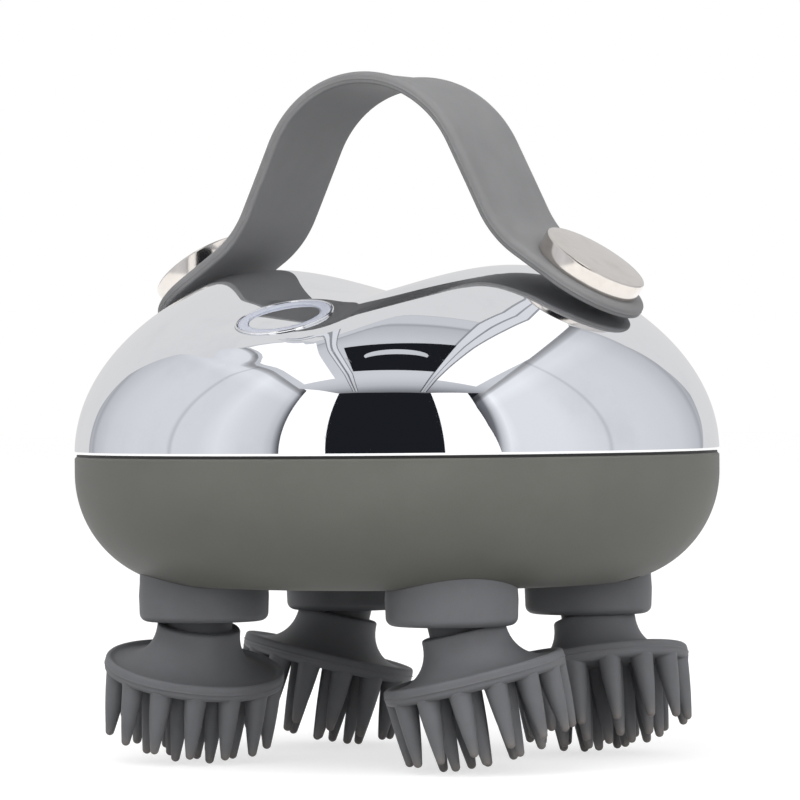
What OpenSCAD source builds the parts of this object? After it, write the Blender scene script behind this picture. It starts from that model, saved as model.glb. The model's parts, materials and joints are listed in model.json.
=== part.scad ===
// Electric scalp massager: a round body with a chromed dome, a finger strap over a
// saddle-shaped top, and four tilted claw heads driven by one central gear.
// +Z is up, the button faces -Y, the strap arches along X.
// The origin is below the centre of the body, level with the lowest claw tips.

/* [Body] */
// Diameter of the body at the seam between the two shells
body_d = 110; // [106:0.5:116]
// Depth of the lower shell below the seam
base_depth = 22.3; // [21.6:0.1:24]
// Radius of the rounded lower edge
base_corner = 19; // [17.5:0.5:20]
// Wall of the lower shell
base_wall = 2.2; // [1.6:0.1:2.8]
// Wall of the upper shell
dome_wall = 2.2; // [1.6:0.1:2.8]
// Thickness of the sealing ring that lies in the seam
gasket_t = 0.4; // [0.3:0.05:0.8]
// How far the sealing ring stands back from the body's side
gasket_inset = 0.35; // [0.2:0.05:0.8]

/* [Dome] */
// Height that the round dome would reach above the seam without its saddle
dome_h = 35.6; // [35:0.1:38]
// Height of the saddle's middle above the seam
saddle_h = 27.5; // [27.1:0.1:29]
// Radius that the saddle curves up with towards the strap's feet
saddle_rise_r = 46; // [40:1:60]
// Radius that the saddle falls with towards the front and back
saddle_fall_r = 140; // [110:5:200]
// Width of the rounded edge where the saddle meets the dome
edge_blend = 5; // [2:0.5:7]

/* [Strap] */
// Width of the strap
strap_w = 22.5; // [18:0.5:26]
// Thickness of the strap
strap_t = 2.1; // [1.6:0.1:2.8]
// Height of the strap's crown above the seam, to its middle layer
strap_rise = 63.5; // [60:0.5:68]
// Radius of the strap's crown
strap_crown_r = 19.6; // [17:0.1:20.5]
// How far the soft crown leans to the left
crown_lean = 0.8; // [0:0.1:1.5]
// Slope of the strap's legs
leg_slope = 64; // [61:0.5:67]
// Radius of the bend at the foot of each leg
strap_foot_r = 18; // [14:0.5:20]
// Slope of the strap's ends
pad_slope = 34; // [32:0.5:36]
// Distance from the body's side to the spot where each end is fixed
pad_inset = 19.8; // [18.6:0.2:20.6]
// Diameter of the metal discs
disc_d = 18.6; // [16:0.2:20]
// Thickness of the metal discs
disc_t = 3.1; // [2.4:0.1:3.6]
// Diameter of the stud under each disc
stud_d = 4; // [3:0.2:5]
// Length of the stud below the strap
stud_len = 9; // [8.8:0.2:12]
// Height of the strap's underside over the dome at the stud
seat_h = 1.1; // [0.3:0.1:1.4]
// Diameter of the seat under the dome that takes each stud
seat_d = 10; // [8:0.5:13]
// Depth of that seat below the dome's wall
seat_depth = 3; // [2:0.2:4]

/* [Button] */
// Distance from the body's side to the button's middle
button_inset = 18.2; // [17.2:0.2:19.6]
// Tilt of the button towards the front
button_tilt = 20; // [16:0.5:24]
// Diameter of the button's bezel
bezel_d = 16.6; // [15:0.1:18]
// Width of the bezel
bezel_w = 0.45; // [0.3:0.05:0.8]
// Width of the light ring
ring_w = 1.7; // [1.2:0.1:2.4]
// Height of the bezel over its flat seat in the dome
bezel_h = 0.35; // [0.2:0.05:0.8]
// Travel of the button
button_travel = 0.6; // [0.3:0.1:0.8]
// Thickness of the button's cap
cap_t = 2.2; // [1.6:0.1:2.6]
// Depth of the circuit board below the button's face
board_depth = 9.6; // [9:0.2:11]
// Width of the circuit board
board_w = 24; // [22:0.5:30]
// Length of the circuit board
board_l = 20; // [16:0.5:22]
// Thickness of the circuit board
board_t = 1.2; // [0.8:0.1:1.6]

/* [Massage heads] */
// Distance of each head from the middle, along X and along Y, as a share of the body's diameter
head_share = 0.21856; // [0.215:0.0005:0.222]
// Tilt of each head
head_tilt = 13.4; // [8:0.2:14]
// Diameter of each head's disc
plate_d = 30.7; // [28:0.1:32]
// Distance from the tilt point to the top of the bell
bell_top = 7.8; // [7.7:0.1:8.6]
// Diameter of the bell at its top
bell_d = 14.1; // [13.6:0.1:15]
// Distance from the tilt point to the disc's upper face
plate_top = 14.4; // [13.8:0.1:15]
// Thickness of the disc at its rim
plate_t = 2.8; // [2:0.1:3.4]
// Claws in the outer ring, the middle ring and the inner ring
claw_counts = [14, 9, 5];
// Radius of the outer, the middle and the inner ring at the roots
claw_radii = [13.4, 8.5, 3.9];
// Length of the claws in each ring
claw_lengths = [10.4, 12.5, 13.1];
// Diameter of a claw at its root
claw_root_d = 3.8; // [3:0.1:4]
// Diameter of a claw at its tip
claw_tip_d = 1.5; // [1.2:0.1:2]
// Outward lean of the claws in the outer ring
claw_splay = 3; // [0:0.5:5]
// Height of the tilt point over the underside of the body
pivot_rise = 0.9; // [0.7:0.1:1.5]
// Diameter of the collar around each neck
collar_d = 21.8; // [21:0.2:23]
// Height of the collar below the underside of the body
collar_h = 5.9; // [5:0.1:6]
// Diameter of the bore of the collar
collar_bore = 15.4; // [15:0.1:16]
// Wall of the collar's upper tube, which fills the hole in the shell
spigot_wall = 1.25; // [0.9:0.05:1.6]
// Diameter of the neck
neck_d = 11.2; // [10:0.1:11.4]
// Diameter of the core inside the bell
core_d = 10; // [9:0.1:10.4]
// Diameter of the inclined crank pin
pin_d = 4; // [3.4:0.1:4.4]

/* [Gears] */
// Pressure angle of all gears
pressure_angle = 20; // [18:0.5:22]
// Play between meshing teeth
backlash = 0.2; // [0.16:0.02:0.3]
// Teeth of the big central gear
sun_teeth = 40;
// Teeth of the small central gear
sun_small_teeth = 20;
// Teeth of the idler gears
idler_teeth = 17;
// Teeth of the two output gears that the big central gear drives
output_teeth = 28;
// Thickness of the gears
gear_t = 3.5; // [2.6:0.1:3.6]
// Diameter of the output shafts
shaft_d = 5; // [4:0.2:5.6]
// Diameter of the central drive shaft
drive_d = 4; // [3:0.2:5]
// Diameter of the idler pins
idler_pin_d = 3; // [2:0.2:4]
// Thickness of the two gearbox plates
plate_thick = 2.4; // [1.8:0.1:2.4]
// Distance of the gearbox screws from the middle
gearbox_screw_r = 30; // [29:0.5:31]

/* [Power] */
// Diameter of the motor
motor_d = 20; // [16:0.5:24]
// Length of the motor's can
motor_l = 17.8; // [14:0.1:18.2]
// Diameter of the reduction head below the motor
reducer_d = 24; // [22:0.5:26]
// Length of the reduction head
reducer_l = 9; // [6:0.2:9]
// Diameter of the battery cell
cell_d = 14; // [12:0.2:14.5]
// Length of the battery cell
cell_l = 42; // [35:0.5:43]
// Distance of the battery cell from the middle, towards the back
cell_y = 26; // [25.6:0.2:27]
// Diameter of the charging insert in the back of the lower shell
insert_d = 12; // [11:0.2:12.4]
// Diameter of its round recess for the charging plug
recess_d = 9; // [8:0.2:9.6]
// Depth of the charging insert's centre below the seam
insert_drop = 8; // [7:0.2:8.4]

/* [Screws and fits] */
// Diameter of the housing screws
housing_screw_d = 2.8; // [2.2:0.1:3]
// Distance of the two outer housing screws from the body's side
housing_screw_inset = 15; // [14.4:0.2:15.6]
// Angle of the outer housing screws from the X axis
housing_screw_angle = 13; // [12:1:15]
// How much further out than the gearbox screws the two inner housing screws stand
inner_screw_step = 3; // [2.9:0.1:4]
// Angle of the inner housing screws from the X axis
inner_screw_angle = 16; // [15:1:20]
// Diameter of the small screws
small_screw_d = 2; // [1.6:0.1:2.2]
// Play on each side of a piece that is fixed in a hole
fixed_gap = 0.05; // [0.03:0.01:0.1]
// Play on each side of a turning or sliding piece
run_gap = 0.05; // [0.03:0.01:0.1]
// Room between moving and fixed faces
face_gap = 0.3; // [0.2:0.05:0.4]

/* [Hidden] */
$fn = 64;

// The four head stations: place along X and Y in steps of head_pitch, and the direction
// that the head's underside faces. Stations 0 and 3 are driven by the big central gear.
FRONT_LEFT = [-1, -1, 150];
FRONT_RIGHT = [1, -1, 30];
BACK_LEFT = [-1, 1, 210];
BACK_RIGHT = [1, 1, 330];
STATIONS = [FRONT_LEFT, FRONT_RIGHT, BACK_LEFT, BACK_RIGHT];

// Claw tips in the head's own frame: distance below the tilt point and from its axis
plate_bottom = plate_top + plate_t;
claw_tip_r = claw_tip_d / 2;
function claw_lean(ring) = ring == 0 ? claw_splay : 0;
function tip_depth(ring) =
    plate_bottom + (claw_lengths[ring] - claw_tip_r) * cos(claw_lean(ring));
function tip_radius(ring) =
    claw_radii[ring] + (claw_lengths[ring] - claw_tip_r) * sin(claw_lean(ring));
function tip_drop(ring) =
    tip_depth(ring) * cos(head_tilt) + tip_radius(ring) * sin(head_tilt) + claw_tip_r;
pivot_z = max([for (ring = [0:2]) tip_drop(ring)]);
base_z = pivot_z - pivot_rise;
seam_z = base_z + base_depth;
body_r = body_d / 2;
lower_rim_z = seam_z - gasket_t;
head_pitch = head_share * body_d;
pad_x = body_r - pad_inset;
button_y = body_r - button_inset;
housing_screw_r = body_r - housing_screw_inset;
inner_screw_r = gearbox_screw_r + inner_screw_step;
over = 1; // how far a cut runs past what it cuts

// Dome: a flattened round dome and a saddle, joined with a rounded edge
function dome_height(x, y, inset) =
    (dome_h - inset) * sqrt(max(0, 1 - (x * x + y * y) / pow(body_r - inset, 2)));
function saddle_height(x, y, inset) =
    saddle_h - inset + x * x / (2 * saddle_rise_r) - y * y / (2 * saddle_fall_r);
function blend_min(a, b) =
    let (near = max(0, edge_blend - abs(a - b))) min(a, b) - near * near / (4 * edge_blend);
function free_height(x, y, inset) =
    blend_min(dome_height(x, y, inset), saddle_height(x, y, inset));
// A flat seat around the button runs out smoothly into the dome
seat_margin = 0.6;
seat_edge = bezel_d / 2 + seat_margin;
seat_run = 5;
function seat_share(x, y) =
    let (d = norm([x, (y + button_y) / cos(button_tilt)]),
        t = min(1, max(0, (seat_edge + seat_run - d) / seat_run)))
    t * t * (3 - 2 * t);
function top_height(x, y, inset = 0) =
    let (share = seat_share(x, y), free = free_height(x, y, inset),
        seat = free_height(0, -button_y, 0) + (y + button_y) * tan(button_tilt)
            - inset / cos(button_tilt))
    free + share * (seat - free);
dome_rings = 16;
dome_rings_inside = 8;
dome_sides = 60;
function dome_point(inset, rings, ring, side) =
    let (r = (body_r - inset) * sin(90 * ring / rings), a = 360 * side / dome_sides,
        x = r * cos(a), y = r * sin(a))
    [x, y, ring == rings ? 0 : top_height(x, y, inset)];
function dome_points(inset, rings) = concat([[0, 0, top_height(0, 0, inset)]],
    [for (ring = [1:rings], side = [0:dome_sides - 1]) dome_point(inset, rings, ring, side)]);
function dome_index(start, ring, side) =
    start + 1 + (ring - 1) * dome_sides + side % dome_sides;
function dome_faces(start, rings) = concat(
    [for (side = [0:dome_sides - 1])
        [start, dome_index(start, 1, side + 1), dome_index(start, 1, side)]],
    [for (ring = [1:rings - 1], side = [0:dome_sides - 1])
        [dome_index(start, ring, side), dome_index(start, ring, side + 1),
            dome_index(start, ring + 1, side)]],
    [for (ring = [1:rings - 1], side = [0:dome_sides - 1])
        [dome_index(start, ring, side + 1), dome_index(start, ring + 1, side + 1),
            dome_index(start, ring + 1, side)]]);
function flipped(faces) = [for (face = faces) [face[2], face[1], face[0]]];

// Strap: crown, straight legs, foot bends and straight ends, drawn in the XZ plane
pad_axis = [sin(pad_slope), cos(pad_slope)];
pad_spot = [pad_x, seam_z + top_height(pad_x, 0)];
strap_under = pad_spot + seat_h * pad_axis;
strap_mid = pad_spot + (seat_h + strap_t / 2) * pad_axis;
crown_z = seam_z + strap_rise;
crown_end = [strap_crown_r * sin(leg_slope),
    crown_z - strap_crown_r * (1 - cos(leg_slope))];
// The leg's line meets the pad's line at the corner that the foot bend rounds off
leg_dir = [cos(leg_slope), -sin(leg_slope)];
pad_dir = [cos(pad_slope), -sin(pad_slope)];
gap_to_pad = strap_mid - crown_end;
leg_run = (gap_to_pad[0] * pad_dir[1] - gap_to_pad[1] * pad_dir[0])
    / (leg_dir[0] * pad_dir[1] - leg_dir[1] * pad_dir[0]);
foot_corner = crown_end + leg_run * leg_dir;
foot_cut = strap_foot_r * tan((leg_slope - pad_slope) / 2);
foot_start = foot_corner - foot_cut * leg_dir;
foot_end = foot_corner + foot_cut * pad_dir;
foot_centre = foot_start + strap_foot_r * [sin(leg_slope), cos(leg_slope)];
strap_steps = 12;
function crown_arc(offset) = [for (i = [0:strap_steps])
    let (a = leg_slope * (1 - 2 * i / strap_steps))
    [-(strap_crown_r + offset) * sin(a),
        crown_z - strap_crown_r + (strap_crown_r + offset) * cos(a)]];
function leaned(points) = [for (p = points)
    let (share = max(0, (p[1] - strap_mid[1]) / (crown_z - strap_mid[1])))
    [p[0] - crown_lean * share * share, p[1]]];
function foot_arc(offset) = [for (i = [0:strap_steps / 2])
    let (a = leg_slope + (pad_slope - leg_slope) * i / (strap_steps / 2))
    foot_centre - (strap_foot_r - offset) * [sin(a), cos(a)]];
function mirrored(points) =
    [for (i = [len(points) - 1:-1:0]) [-points[i][0], points[i][1]]];
function strap_line(offset) =
    leaned(concat(mirrored(foot_arc(offset)), crown_arc(offset), foot_arc(offset)));
foot_to_pad = norm(strap_mid - foot_end);
seat_bottom = seat_h + dome_wall + seat_depth; // measured from the strap's underside

// Button frame of reference
button_pos = [0, -button_y, seam_z + top_height(0, -button_y) + bezel_h];
bezel_r = bezel_d / 2;
ring_outer_r = bezel_r - bezel_w - fixed_gap;
ring_inner_r = ring_outer_r - ring_w;
cap_r = ring_inner_r - run_gap;
frame_depth = 4.6;
frame_flange_t = 0.9;
frame_flange_r = bezel_r + 1.8;
stem_r = 1.6;
switch_w = 6;
switch_h = 3.5;
plunger_h = 0.5;
plunger_r = 1.7;
board_screw_x = ring_inner_r + 1.9;
board_screw_grip = 2.6;
frame_leg_r = 1.8;
button_dish = 0.3;
ring_sunk = 0.1;
stem_end = board_depth - switch_h - plunger_h - button_travel - run_gap;

// Heights in the gearbox
post_h = 2.7; // from the lower shell's floor to the gearbox
gear_lift = 0.9;
gear_spacing = 1;
cover_gap = 1.4;
gearbox_z = base_z + base_wall + post_h;
lower_gear_z = gearbox_z + plate_thick + gear_lift;
upper_gear_z = lower_gear_z + gear_t + gear_spacing;
cover_z = upper_gear_z + gear_t + cover_gap;
motor_z = cover_z + plate_thick;
// The gears' module follows from the heads' distance, so that all teeth always mesh
head_dist = head_pitch * sqrt(2);
gear_module = 2 * head_dist / (sun_teeth + output_teeth);
idler_dist = gear_module * (sun_small_teeth + idler_teeth) / 2;
small_output_teeth = sun_teeth + output_teeth - sun_small_teeth - 2 * idler_teeth;
gear_addendum = 0.95 * gear_module;
gear_dedendum = 1.25 * gear_module;
bushing_wall = 1.4;
bushing_r = shaft_d / 2 + bushing_wall;
bushing_flange = 1;
bushing_flange_t = 0.5;
gearbox_lobe = 2.6;
screw_head_h = 1.4;
screw_head_wall = 1;
gearbox_screw_end = base_z + base_wall + 0.6;
screw_post_r = 3.2;
screw_tip_gap = 0.4;
screw_lobe = 0.6;
hub_wall = 3;
idler_pin_flange = 1.4;
motor_screw_x = reducer_d / 2 - 3.6;
shaft_in_reducer = 3;
motor_screw_grip = 3;
motor_screw_head_h = 0.9;
end_cap = 1;

// Crank and head core, measured below the tilt point
crank_hub_r = 5.4;
crank_hub_gap = 0.4;
core_top = 1.4;
core_bottom = plate_bottom - 1.3;
pin_end = core_bottom - 0.4;
clip_depth = core_bottom - 1.4;
clip_t = 0.6;
clip_groove = 0.45;
clip_rim = 1.5;
bell_floor = 0.3;
collar_edge = 1.4;
collar_mouth = 1.9;
collar_mouth_h = 2.3;

// Housing screws
screw_pocket_z = base_z + 7.2;
housing_boss_r = 4.4;
dome_boss_r = 3.4;
housing_screw_top = seam_z + 11;
pocket_gap = 0.2;

// Battery and charging insert
cell_lift = 2.8;
cell_z = motor_z + cell_lift + cell_d / 2;
insert_length = 6;
insert_sunk = 1;
recess_depth = 2;
contact_x = 2;
contact_d = 1.6;
contact_stand = 0.1;
contact_tail = 1.5;
// The charging insert stands square to the shell's rounded side
port_slope = asin((insert_drop + base_corner - base_depth) / base_corner);
HOUSING_SCREWS = [[housing_screw_r, housing_screw_angle], [inner_screw_r, 180 - inner_screw_angle],
    [housing_screw_r, 180 + housing_screw_angle], [inner_screw_r, -inner_screw_angle]];

// Lower shell's side as a chain of points around the rounded edge
corner_steps = 16;
function base_corner_points(inset) = [for (i = [0:corner_steps])
    let (a = 90 * i / corner_steps)
    [body_r - base_corner + (base_corner - inset) * sin(a),
        base_z + base_corner - (base_corner - inset) * cos(a)]];
function reversed(points) = [for (i = [len(points) - 1:-1:0]) points[i]];

module base_solid(grow) {
    rotate_extrude($fn = 96)
        polygon(concat([[0, base_z - grow]], base_corner_points(-grow),
            [[body_r + grow, seam_z], [0, seam_z]]));
}

module at_station(station) {
    translate([station[0] * head_pitch, station[1] * head_pitch, 0]) children();
}

module at_head(station) {
    at_station(station) translate([0, 0, pivot_z]) rotate([0, 0, station[2]])
        rotate([0, -head_tilt, 0]) children();
}

module at_button() {
    translate(button_pos) rotate([button_tilt, 0, 0]) children();
}

module at_pad(side) {
    translate([side * strap_under[0], 0, strap_under[1]]) rotate([0, side * pad_slope, 0])
        children();
}

module at_housing_screws() {
    for (place = HOUSING_SCREWS) rotate([0, 0, place[1]]) translate([place[0], 0, 0])
        children();
}

module at_gearbox_screws() {
    for (a = [0:90:270]) rotate([0, 0, a]) translate([gearbox_screw_r, 0, 0]) children();
}

module ring(outer_r, inner_r, h) {
    difference() {
        cylinder(r = outer_r, h = h);
        translate([0, 0, -over]) cylinder(r = inner_r, h = h + 2 * over);
    }
}

// Both shells

module dome_shell_blank() {
    outside = dome_points(0, dome_rings);
    inside = dome_points(dome_wall, dome_rings_inside);
    n = len(outside);
    rim = [for (side = [0:dome_sides - 1])
        [dome_index(0, dome_rings, side), dome_index(0, dome_rings, side + 1),
            dome_index(n, dome_rings_inside, side)]];
    rim_rest = [for (side = [0:dome_sides - 1])
        [dome_index(0, dome_rings, side + 1), dome_index(n, dome_rings_inside, side + 1),
            dome_index(n, dome_rings_inside, side)]];
    polyhedron(points = concat(outside, inside), faces = concat(dome_faces(0, dome_rings),
        flipped(dome_faces(n, dome_rings_inside)), rim, rim_rest));
}

module dome_solid(inset) {
    points = dome_points(inset, dome_rings_inside);
    rim = [for (side = [0:dome_sides - 1]) dome_index(0, dome_rings_inside, side)];
    polyhedron(points = points, faces = concat(dome_faces(0, dome_rings_inside), [rim]));
}

module top_shell() {
    color("silver") difference() {
        union() {
            translate([0, 0, seam_z]) dome_shell_blank();
            intersection() {
                at_housing_screws() translate([0, 0, seam_z])
                    cylinder(r = dome_boss_r, h = dome_h);
                translate([0, 0, seam_z]) dome_solid(dome_wall / 2);
            }
            for (side = [-1, 1]) at_pad(side) translate([0, 0, -seat_bottom])
                cylinder(d = seat_d, h = seat_bottom);
        }
        at_housing_screws() translate([0, 0, seam_z - over])
            cylinder(d = housing_screw_d + 2 * fixed_gap, h = housing_screw_top - seam_z + 2 * over);
        for (side = [-1, 1]) at_pad(side) translate([0, 0, -stud_len - over])
            cylinder(d = stud_d + 2 * fixed_gap, h = stud_len + 2 * over);
        at_button() translate([0, 0, -frame_depth - dome_wall])
            cylinder(r = bezel_r + fixed_gap, h = 2 * (frame_depth + dome_wall));
    }
}

module lower_shell() {
    color("dimgray") difference() {
        union() {
            rotate_extrude($fn = 96)
                polygon(concat([[0, base_z]], base_corner_points(0),
                    [[body_r, lower_rim_z], [body_r - base_wall, lower_rim_z]],
                    reversed(base_corner_points(base_wall)), [[0, base_z + base_wall]]));
            intersection() {
                at_housing_screws() translate([0, 0, base_z])
                    cylinder(r = housing_boss_r, h = lower_rim_z - base_z);
                base_solid(-base_wall / 2);
            }
            at_gearbox_screws() translate([0, 0, base_z + base_wall / 2])
                cylinder(r = screw_post_r, h = gearbox_z - base_z - base_wall / 2);
        }
        for (station = STATIONS) at_station(station) translate([0, 0, base_z - over])
            cylinder(d = collar_bore + 2 * (spigot_wall + fixed_gap), h = screw_pocket_z - base_z);
        at_housing_screws() translate([0, 0, base_z - over]) {
            cylinder(r = housing_screw_d / 2 + screw_head_wall + pocket_gap,
                h = screw_pocket_z - base_z + over);
            cylinder(d = housing_screw_d + 2 * fixed_gap, h = base_depth + 2 * over);
        }
        at_gearbox_screws() translate([0, 0, gearbox_screw_end])
            cylinder(d = small_screw_d + 2 * fixed_gap, h = gearbox_z);
        at_charge_port() translate([0, 0, -insert_length - over])
            cylinder(d = insert_d + 2 * fixed_gap, h = insert_length + 4 * over);
    }
}

module seam_gasket() {
    color("black") translate([0, 0, lower_rim_z])
        ring(body_r - gasket_inset, body_r - base_wall, gasket_t, $fn = 96);
}

module strap() {
    color("gray") {
        rotate([90, 0, 0]) translate([0, 0, -strap_w / 2]) linear_extrude(strap_w)
            polygon(concat(strap_line(strap_t / 2), reversed(strap_line(-strap_t / 2))));
        for (side = [-1, 1]) at_pad(side) difference() {
            linear_extrude(strap_t) strap_end_outline(side);
            translate([0, 0, -over]) cylinder(d = stud_d + 2 * fixed_gap, h = strap_t + 2 * over);
        }
    }
}

module strap_end_outline(side) {
    half = strap_w / 2;
    steps = 24;
    polygon(concat([for (i = [0:steps]) let (a = -90 + 180 * i / steps)
        [side * half * cos(a), half * sin(a)]],
        [[-side * foot_to_pad, half], [-side * foot_to_pad, -half]]));
}

module strap_disc(side) {
    edge = 0.25;
    color("lightgray") at_pad(side) {
        translate([0, 0, strap_t]) rotate_extrude()
            polygon([[0, 0], [disc_d / 2 - edge, 0], [disc_d / 2, edge],
                [disc_d / 2, disc_t - edge], [disc_d / 2 - edge, disc_t], [0, disc_t]]);
        translate([0, 0, -stud_len]) cylinder(d = stud_d, h = stud_len + strap_t + disc_t / 2);
    }
}

module strap_nuts() {
    nut_t = 2.4;
    nut_wall = 2;
    color("goldenrod") for (side = [-1, 1]) at_pad(side)
        translate([0, 0, -seat_bottom - nut_t]) difference() {
            cylinder(d = stud_d + 2 * nut_wall, h = nut_t, $fn = 6);
            translate([0, 0, -over]) cylinder(d = stud_d + 2 * fixed_gap, h = nut_t + 2 * over);
        }
}

module power_button() {
    color("silver") at_button() {
        translate([0, 0, -cap_t - button_dish]) cylinder(r = cap_r, h = cap_t);
        translate([0, 0, -stem_end]) cylinder(r = stem_r, h = stem_end - cap_t);
    }
}

module button_light_ring() {
    color("lavender") at_button() translate([0, 0, -frame_depth])
        ring(ring_outer_r, ring_inner_r, frame_depth - ring_sunk);
}

module button_frame() {
    color("gainsboro") at_button() difference() {
        union() {
            translate([0, 0, -frame_depth]) ring(bezel_r, bezel_r - bezel_w, frame_depth);
            translate([0, 0, -frame_depth - frame_flange_t])
                ring(frame_flange_r, ring_inner_r, frame_flange_t);
            for (side = [-1, 1])
                translate([side * board_screw_x, 0, -board_depth])
                    cylinder(r = frame_leg_r, h = board_depth - frame_depth - frame_flange_t / 2);
        }
        for (side = [-1, 1])
            translate([side * board_screw_x, 0, -board_depth - over])
                cylinder(d = small_screw_d + 2 * fixed_gap, h = board_screw_grip + 2 * over);
    }
}

module control_board() {
    color("darkgreen") at_button() translate([0, 0, -board_depth - board_t]) difference() {
        translate([-board_w / 2, -board_l / 2, 0]) cube([board_w, board_l, board_t]);
        for (side = [-1, 1]) translate([side * board_screw_x, 0, -over])
            cylinder(d = small_screw_d + 2 * fixed_gap, h = board_t + 2 * over);
    }
}

module push_switch() {
    color("dimgray") at_button() translate([0, 0, -board_depth]) {
        translate([-switch_w / 2, -switch_w / 2, 0]) cube([switch_w, switch_w, switch_h]);
        translate([0, 0, switch_h]) cylinder(r = plunger_r, h = plunger_h);
    }
}

module status_lights() {
    light = [1.6, 0.8, 0.6];
    color("white") at_button() translate([0, 0, -board_depth])
        for (a = [45:90:315]) rotate([0, 0, a]) translate([ring_inner_r - light[0] / 2, -light[1] / 2, 0])
            cube(light);
}

module board_screws() {
    color("silver") at_button() for (side = [-1, 1])
        translate([side * board_screw_x, 0, -board_depth - board_t - screw_head_h]) {
            cylinder(d = small_screw_d + 2 * screw_head_wall, h = screw_head_h);
            cylinder(d = small_screw_d, h = screw_head_h + board_t + board_screw_grip);
        }
}

// Angle, in degrees, that an involute turns through from its base circle to radius r
function involute_angle(base_r, r) =
    let (t = sqrt(max(0, pow(r / base_r, 2) - 1))) t * 180 / PI - atan(t);
flank_steps = 4;
function gear_flank(teeth, sign) =
    let (pitch_r = gear_module * teeth / 2,
        base_r = pitch_r * cos(pressure_angle),
        tip_r = pitch_r + gear_addendum,
        root_r = pitch_r - gear_dedendum,
        half = 90 / teeth - backlash / 4 / pitch_r * 180 / PI
            + involute_angle(base_r, pitch_r),
        start_r = max(base_r, root_r),
        flank = [for (i = [0:flank_steps])
            let (r = start_r + (tip_r - start_r) * i / flank_steps)
            [r, sign * (half - involute_angle(base_r, r))]])
    root_r < base_r ? concat([[root_r, sign * half]], flank) : flank;
function gear_outline(teeth) = [for (tooth = [0:teeth - 1])
    each [for (p = concat(gear_flank(teeth, -1), reversed(gear_flank(teeth, 1))))
        let (a = p[1] + 360 * tooth / teeth) [p[0] * cos(a), p[0] * sin(a)]]];

module spur_gear(teeth, bore_d, turn) {
    difference() {
        rotate([0, 0, turn]) linear_extrude(gear_t) polygon(gear_outline(teeth));
        translate([0, 0, -over]) cylinder(d = bore_d, h = gear_t + 2 * over);
    }
}

// Turn of a driven gear, at the given direction from its driver, that seats its teeth
function mesh_turn(direction, driver_teeth, driver_turn, teeth) =
    let (driver_phase = (direction - driver_turn) * driver_teeth / 360)
    direction + 180 - 360 / teeth * (0.5 - driver_phase);

function station_angle(station) = atan2(station[1], station[0]);
function is_direct(station) = station[0] == station[1];
function idler_turn(station) = mesh_turn(station_angle(station), sun_small_teeth, 0, idler_teeth);
function output_turn(station) = is_direct(station)
    ? mesh_turn(station_angle(station), sun_teeth, 0, output_teeth)
    : mesh_turn(station_angle(station), idler_teeth, idler_turn(station), small_output_teeth);

module central_gear() {
    both_h = upper_gear_z + gear_t - lower_gear_z;
    color("ivory") difference() {
        union() {
            translate([0, 0, upper_gear_z]) linear_extrude(gear_t)
                polygon(gear_outline(sun_teeth));
            translate([0, 0, lower_gear_z]) linear_extrude(gear_t)
                polygon(gear_outline(sun_small_teeth));
            translate([0, 0, lower_gear_z]) cylinder(r = drive_d / 2 + hub_wall, h = both_h);
        }
        translate([0, 0, lower_gear_z - over])
            cylinder(d = drive_d + 2 * fixed_gap, h = both_h + 2 * over);
    }
}

module drive_shaft() {
    color("silver") translate([0, 0, gearbox_z + face_gap])
        cylinder(d = drive_d, h = motor_z + shaft_in_reducer - gearbox_z);
}

module idler_gear(station) {
    color("ivory") rotate([0, 0, station_angle(station)])
        translate([idler_dist, 0, lower_gear_z])
            spur_gear(idler_teeth, idler_pin_d + 2 * run_gap,
                idler_turn(station) - station_angle(station));
}

module idler_pins() {
    flange_h = lower_gear_z - gearbox_z - plate_thick - pocket_gap;
    color("silver") for (station = [FRONT_RIGHT, BACK_LEFT])
        rotate([0, 0, station_angle(station)]) translate([idler_dist, 0, 0]) {
            translate([0, 0, gearbox_z + pocket_gap])
                cylinder(d = idler_pin_d, h = lower_gear_z + gear_t - gearbox_z);
            translate([0, 0, gearbox_z + plate_thick])
                cylinder(r = idler_pin_d / 2 + idler_pin_flange, h = flange_h);
        }
}

module output_gear(station) {
    direct = is_direct(station);
    teeth = direct ? output_teeth : small_output_teeth;
    color("ivory") at_station(station) translate([0, 0, direct ? upper_gear_z : lower_gear_z])
        spur_gear(teeth, shaft_d + 2 * fixed_gap, output_turn(station));
}

// Plan of both gearbox plates: a middle disc with a lobe at each shaft and screw
module gearbox_plan() {
    difference() {
        union() {
            circle(r = gearbox_screw_r - small_screw_d);
            for (station = STATIONS)
                translate([station[0] * head_pitch, station[1] * head_pitch])
                    circle(r = bushing_r + gearbox_lobe);
            for (a = [0:90:270]) rotate(a) translate([gearbox_screw_r, 0])
                circle(r = screw_post_r + screw_lobe);
        }
        for (station = STATIONS)
            translate([station[0] * head_pitch, station[1] * head_pitch])
                circle(r = bushing_r + fixed_gap);
        for (a = [0:90:270]) rotate(a) translate([gearbox_screw_r, 0])
            circle(d = small_screw_d + 2 * fixed_gap);
    }
}

module gearbox_base() {
    color("slategray") translate([0, 0, gearbox_z]) difference() {
        linear_extrude(plate_thick) gearbox_plan();
        translate([0, 0, -over]) cylinder(d = drive_d + 2 * run_gap, h = plate_thick + 2 * over);
        for (station = [FRONT_RIGHT, BACK_LEFT])
            rotate([0, 0, station_angle(station)]) translate([idler_dist, 0, -over])
                cylinder(d = idler_pin_d + 2 * fixed_gap, h = plate_thick + 2 * over);
    }
}

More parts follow.
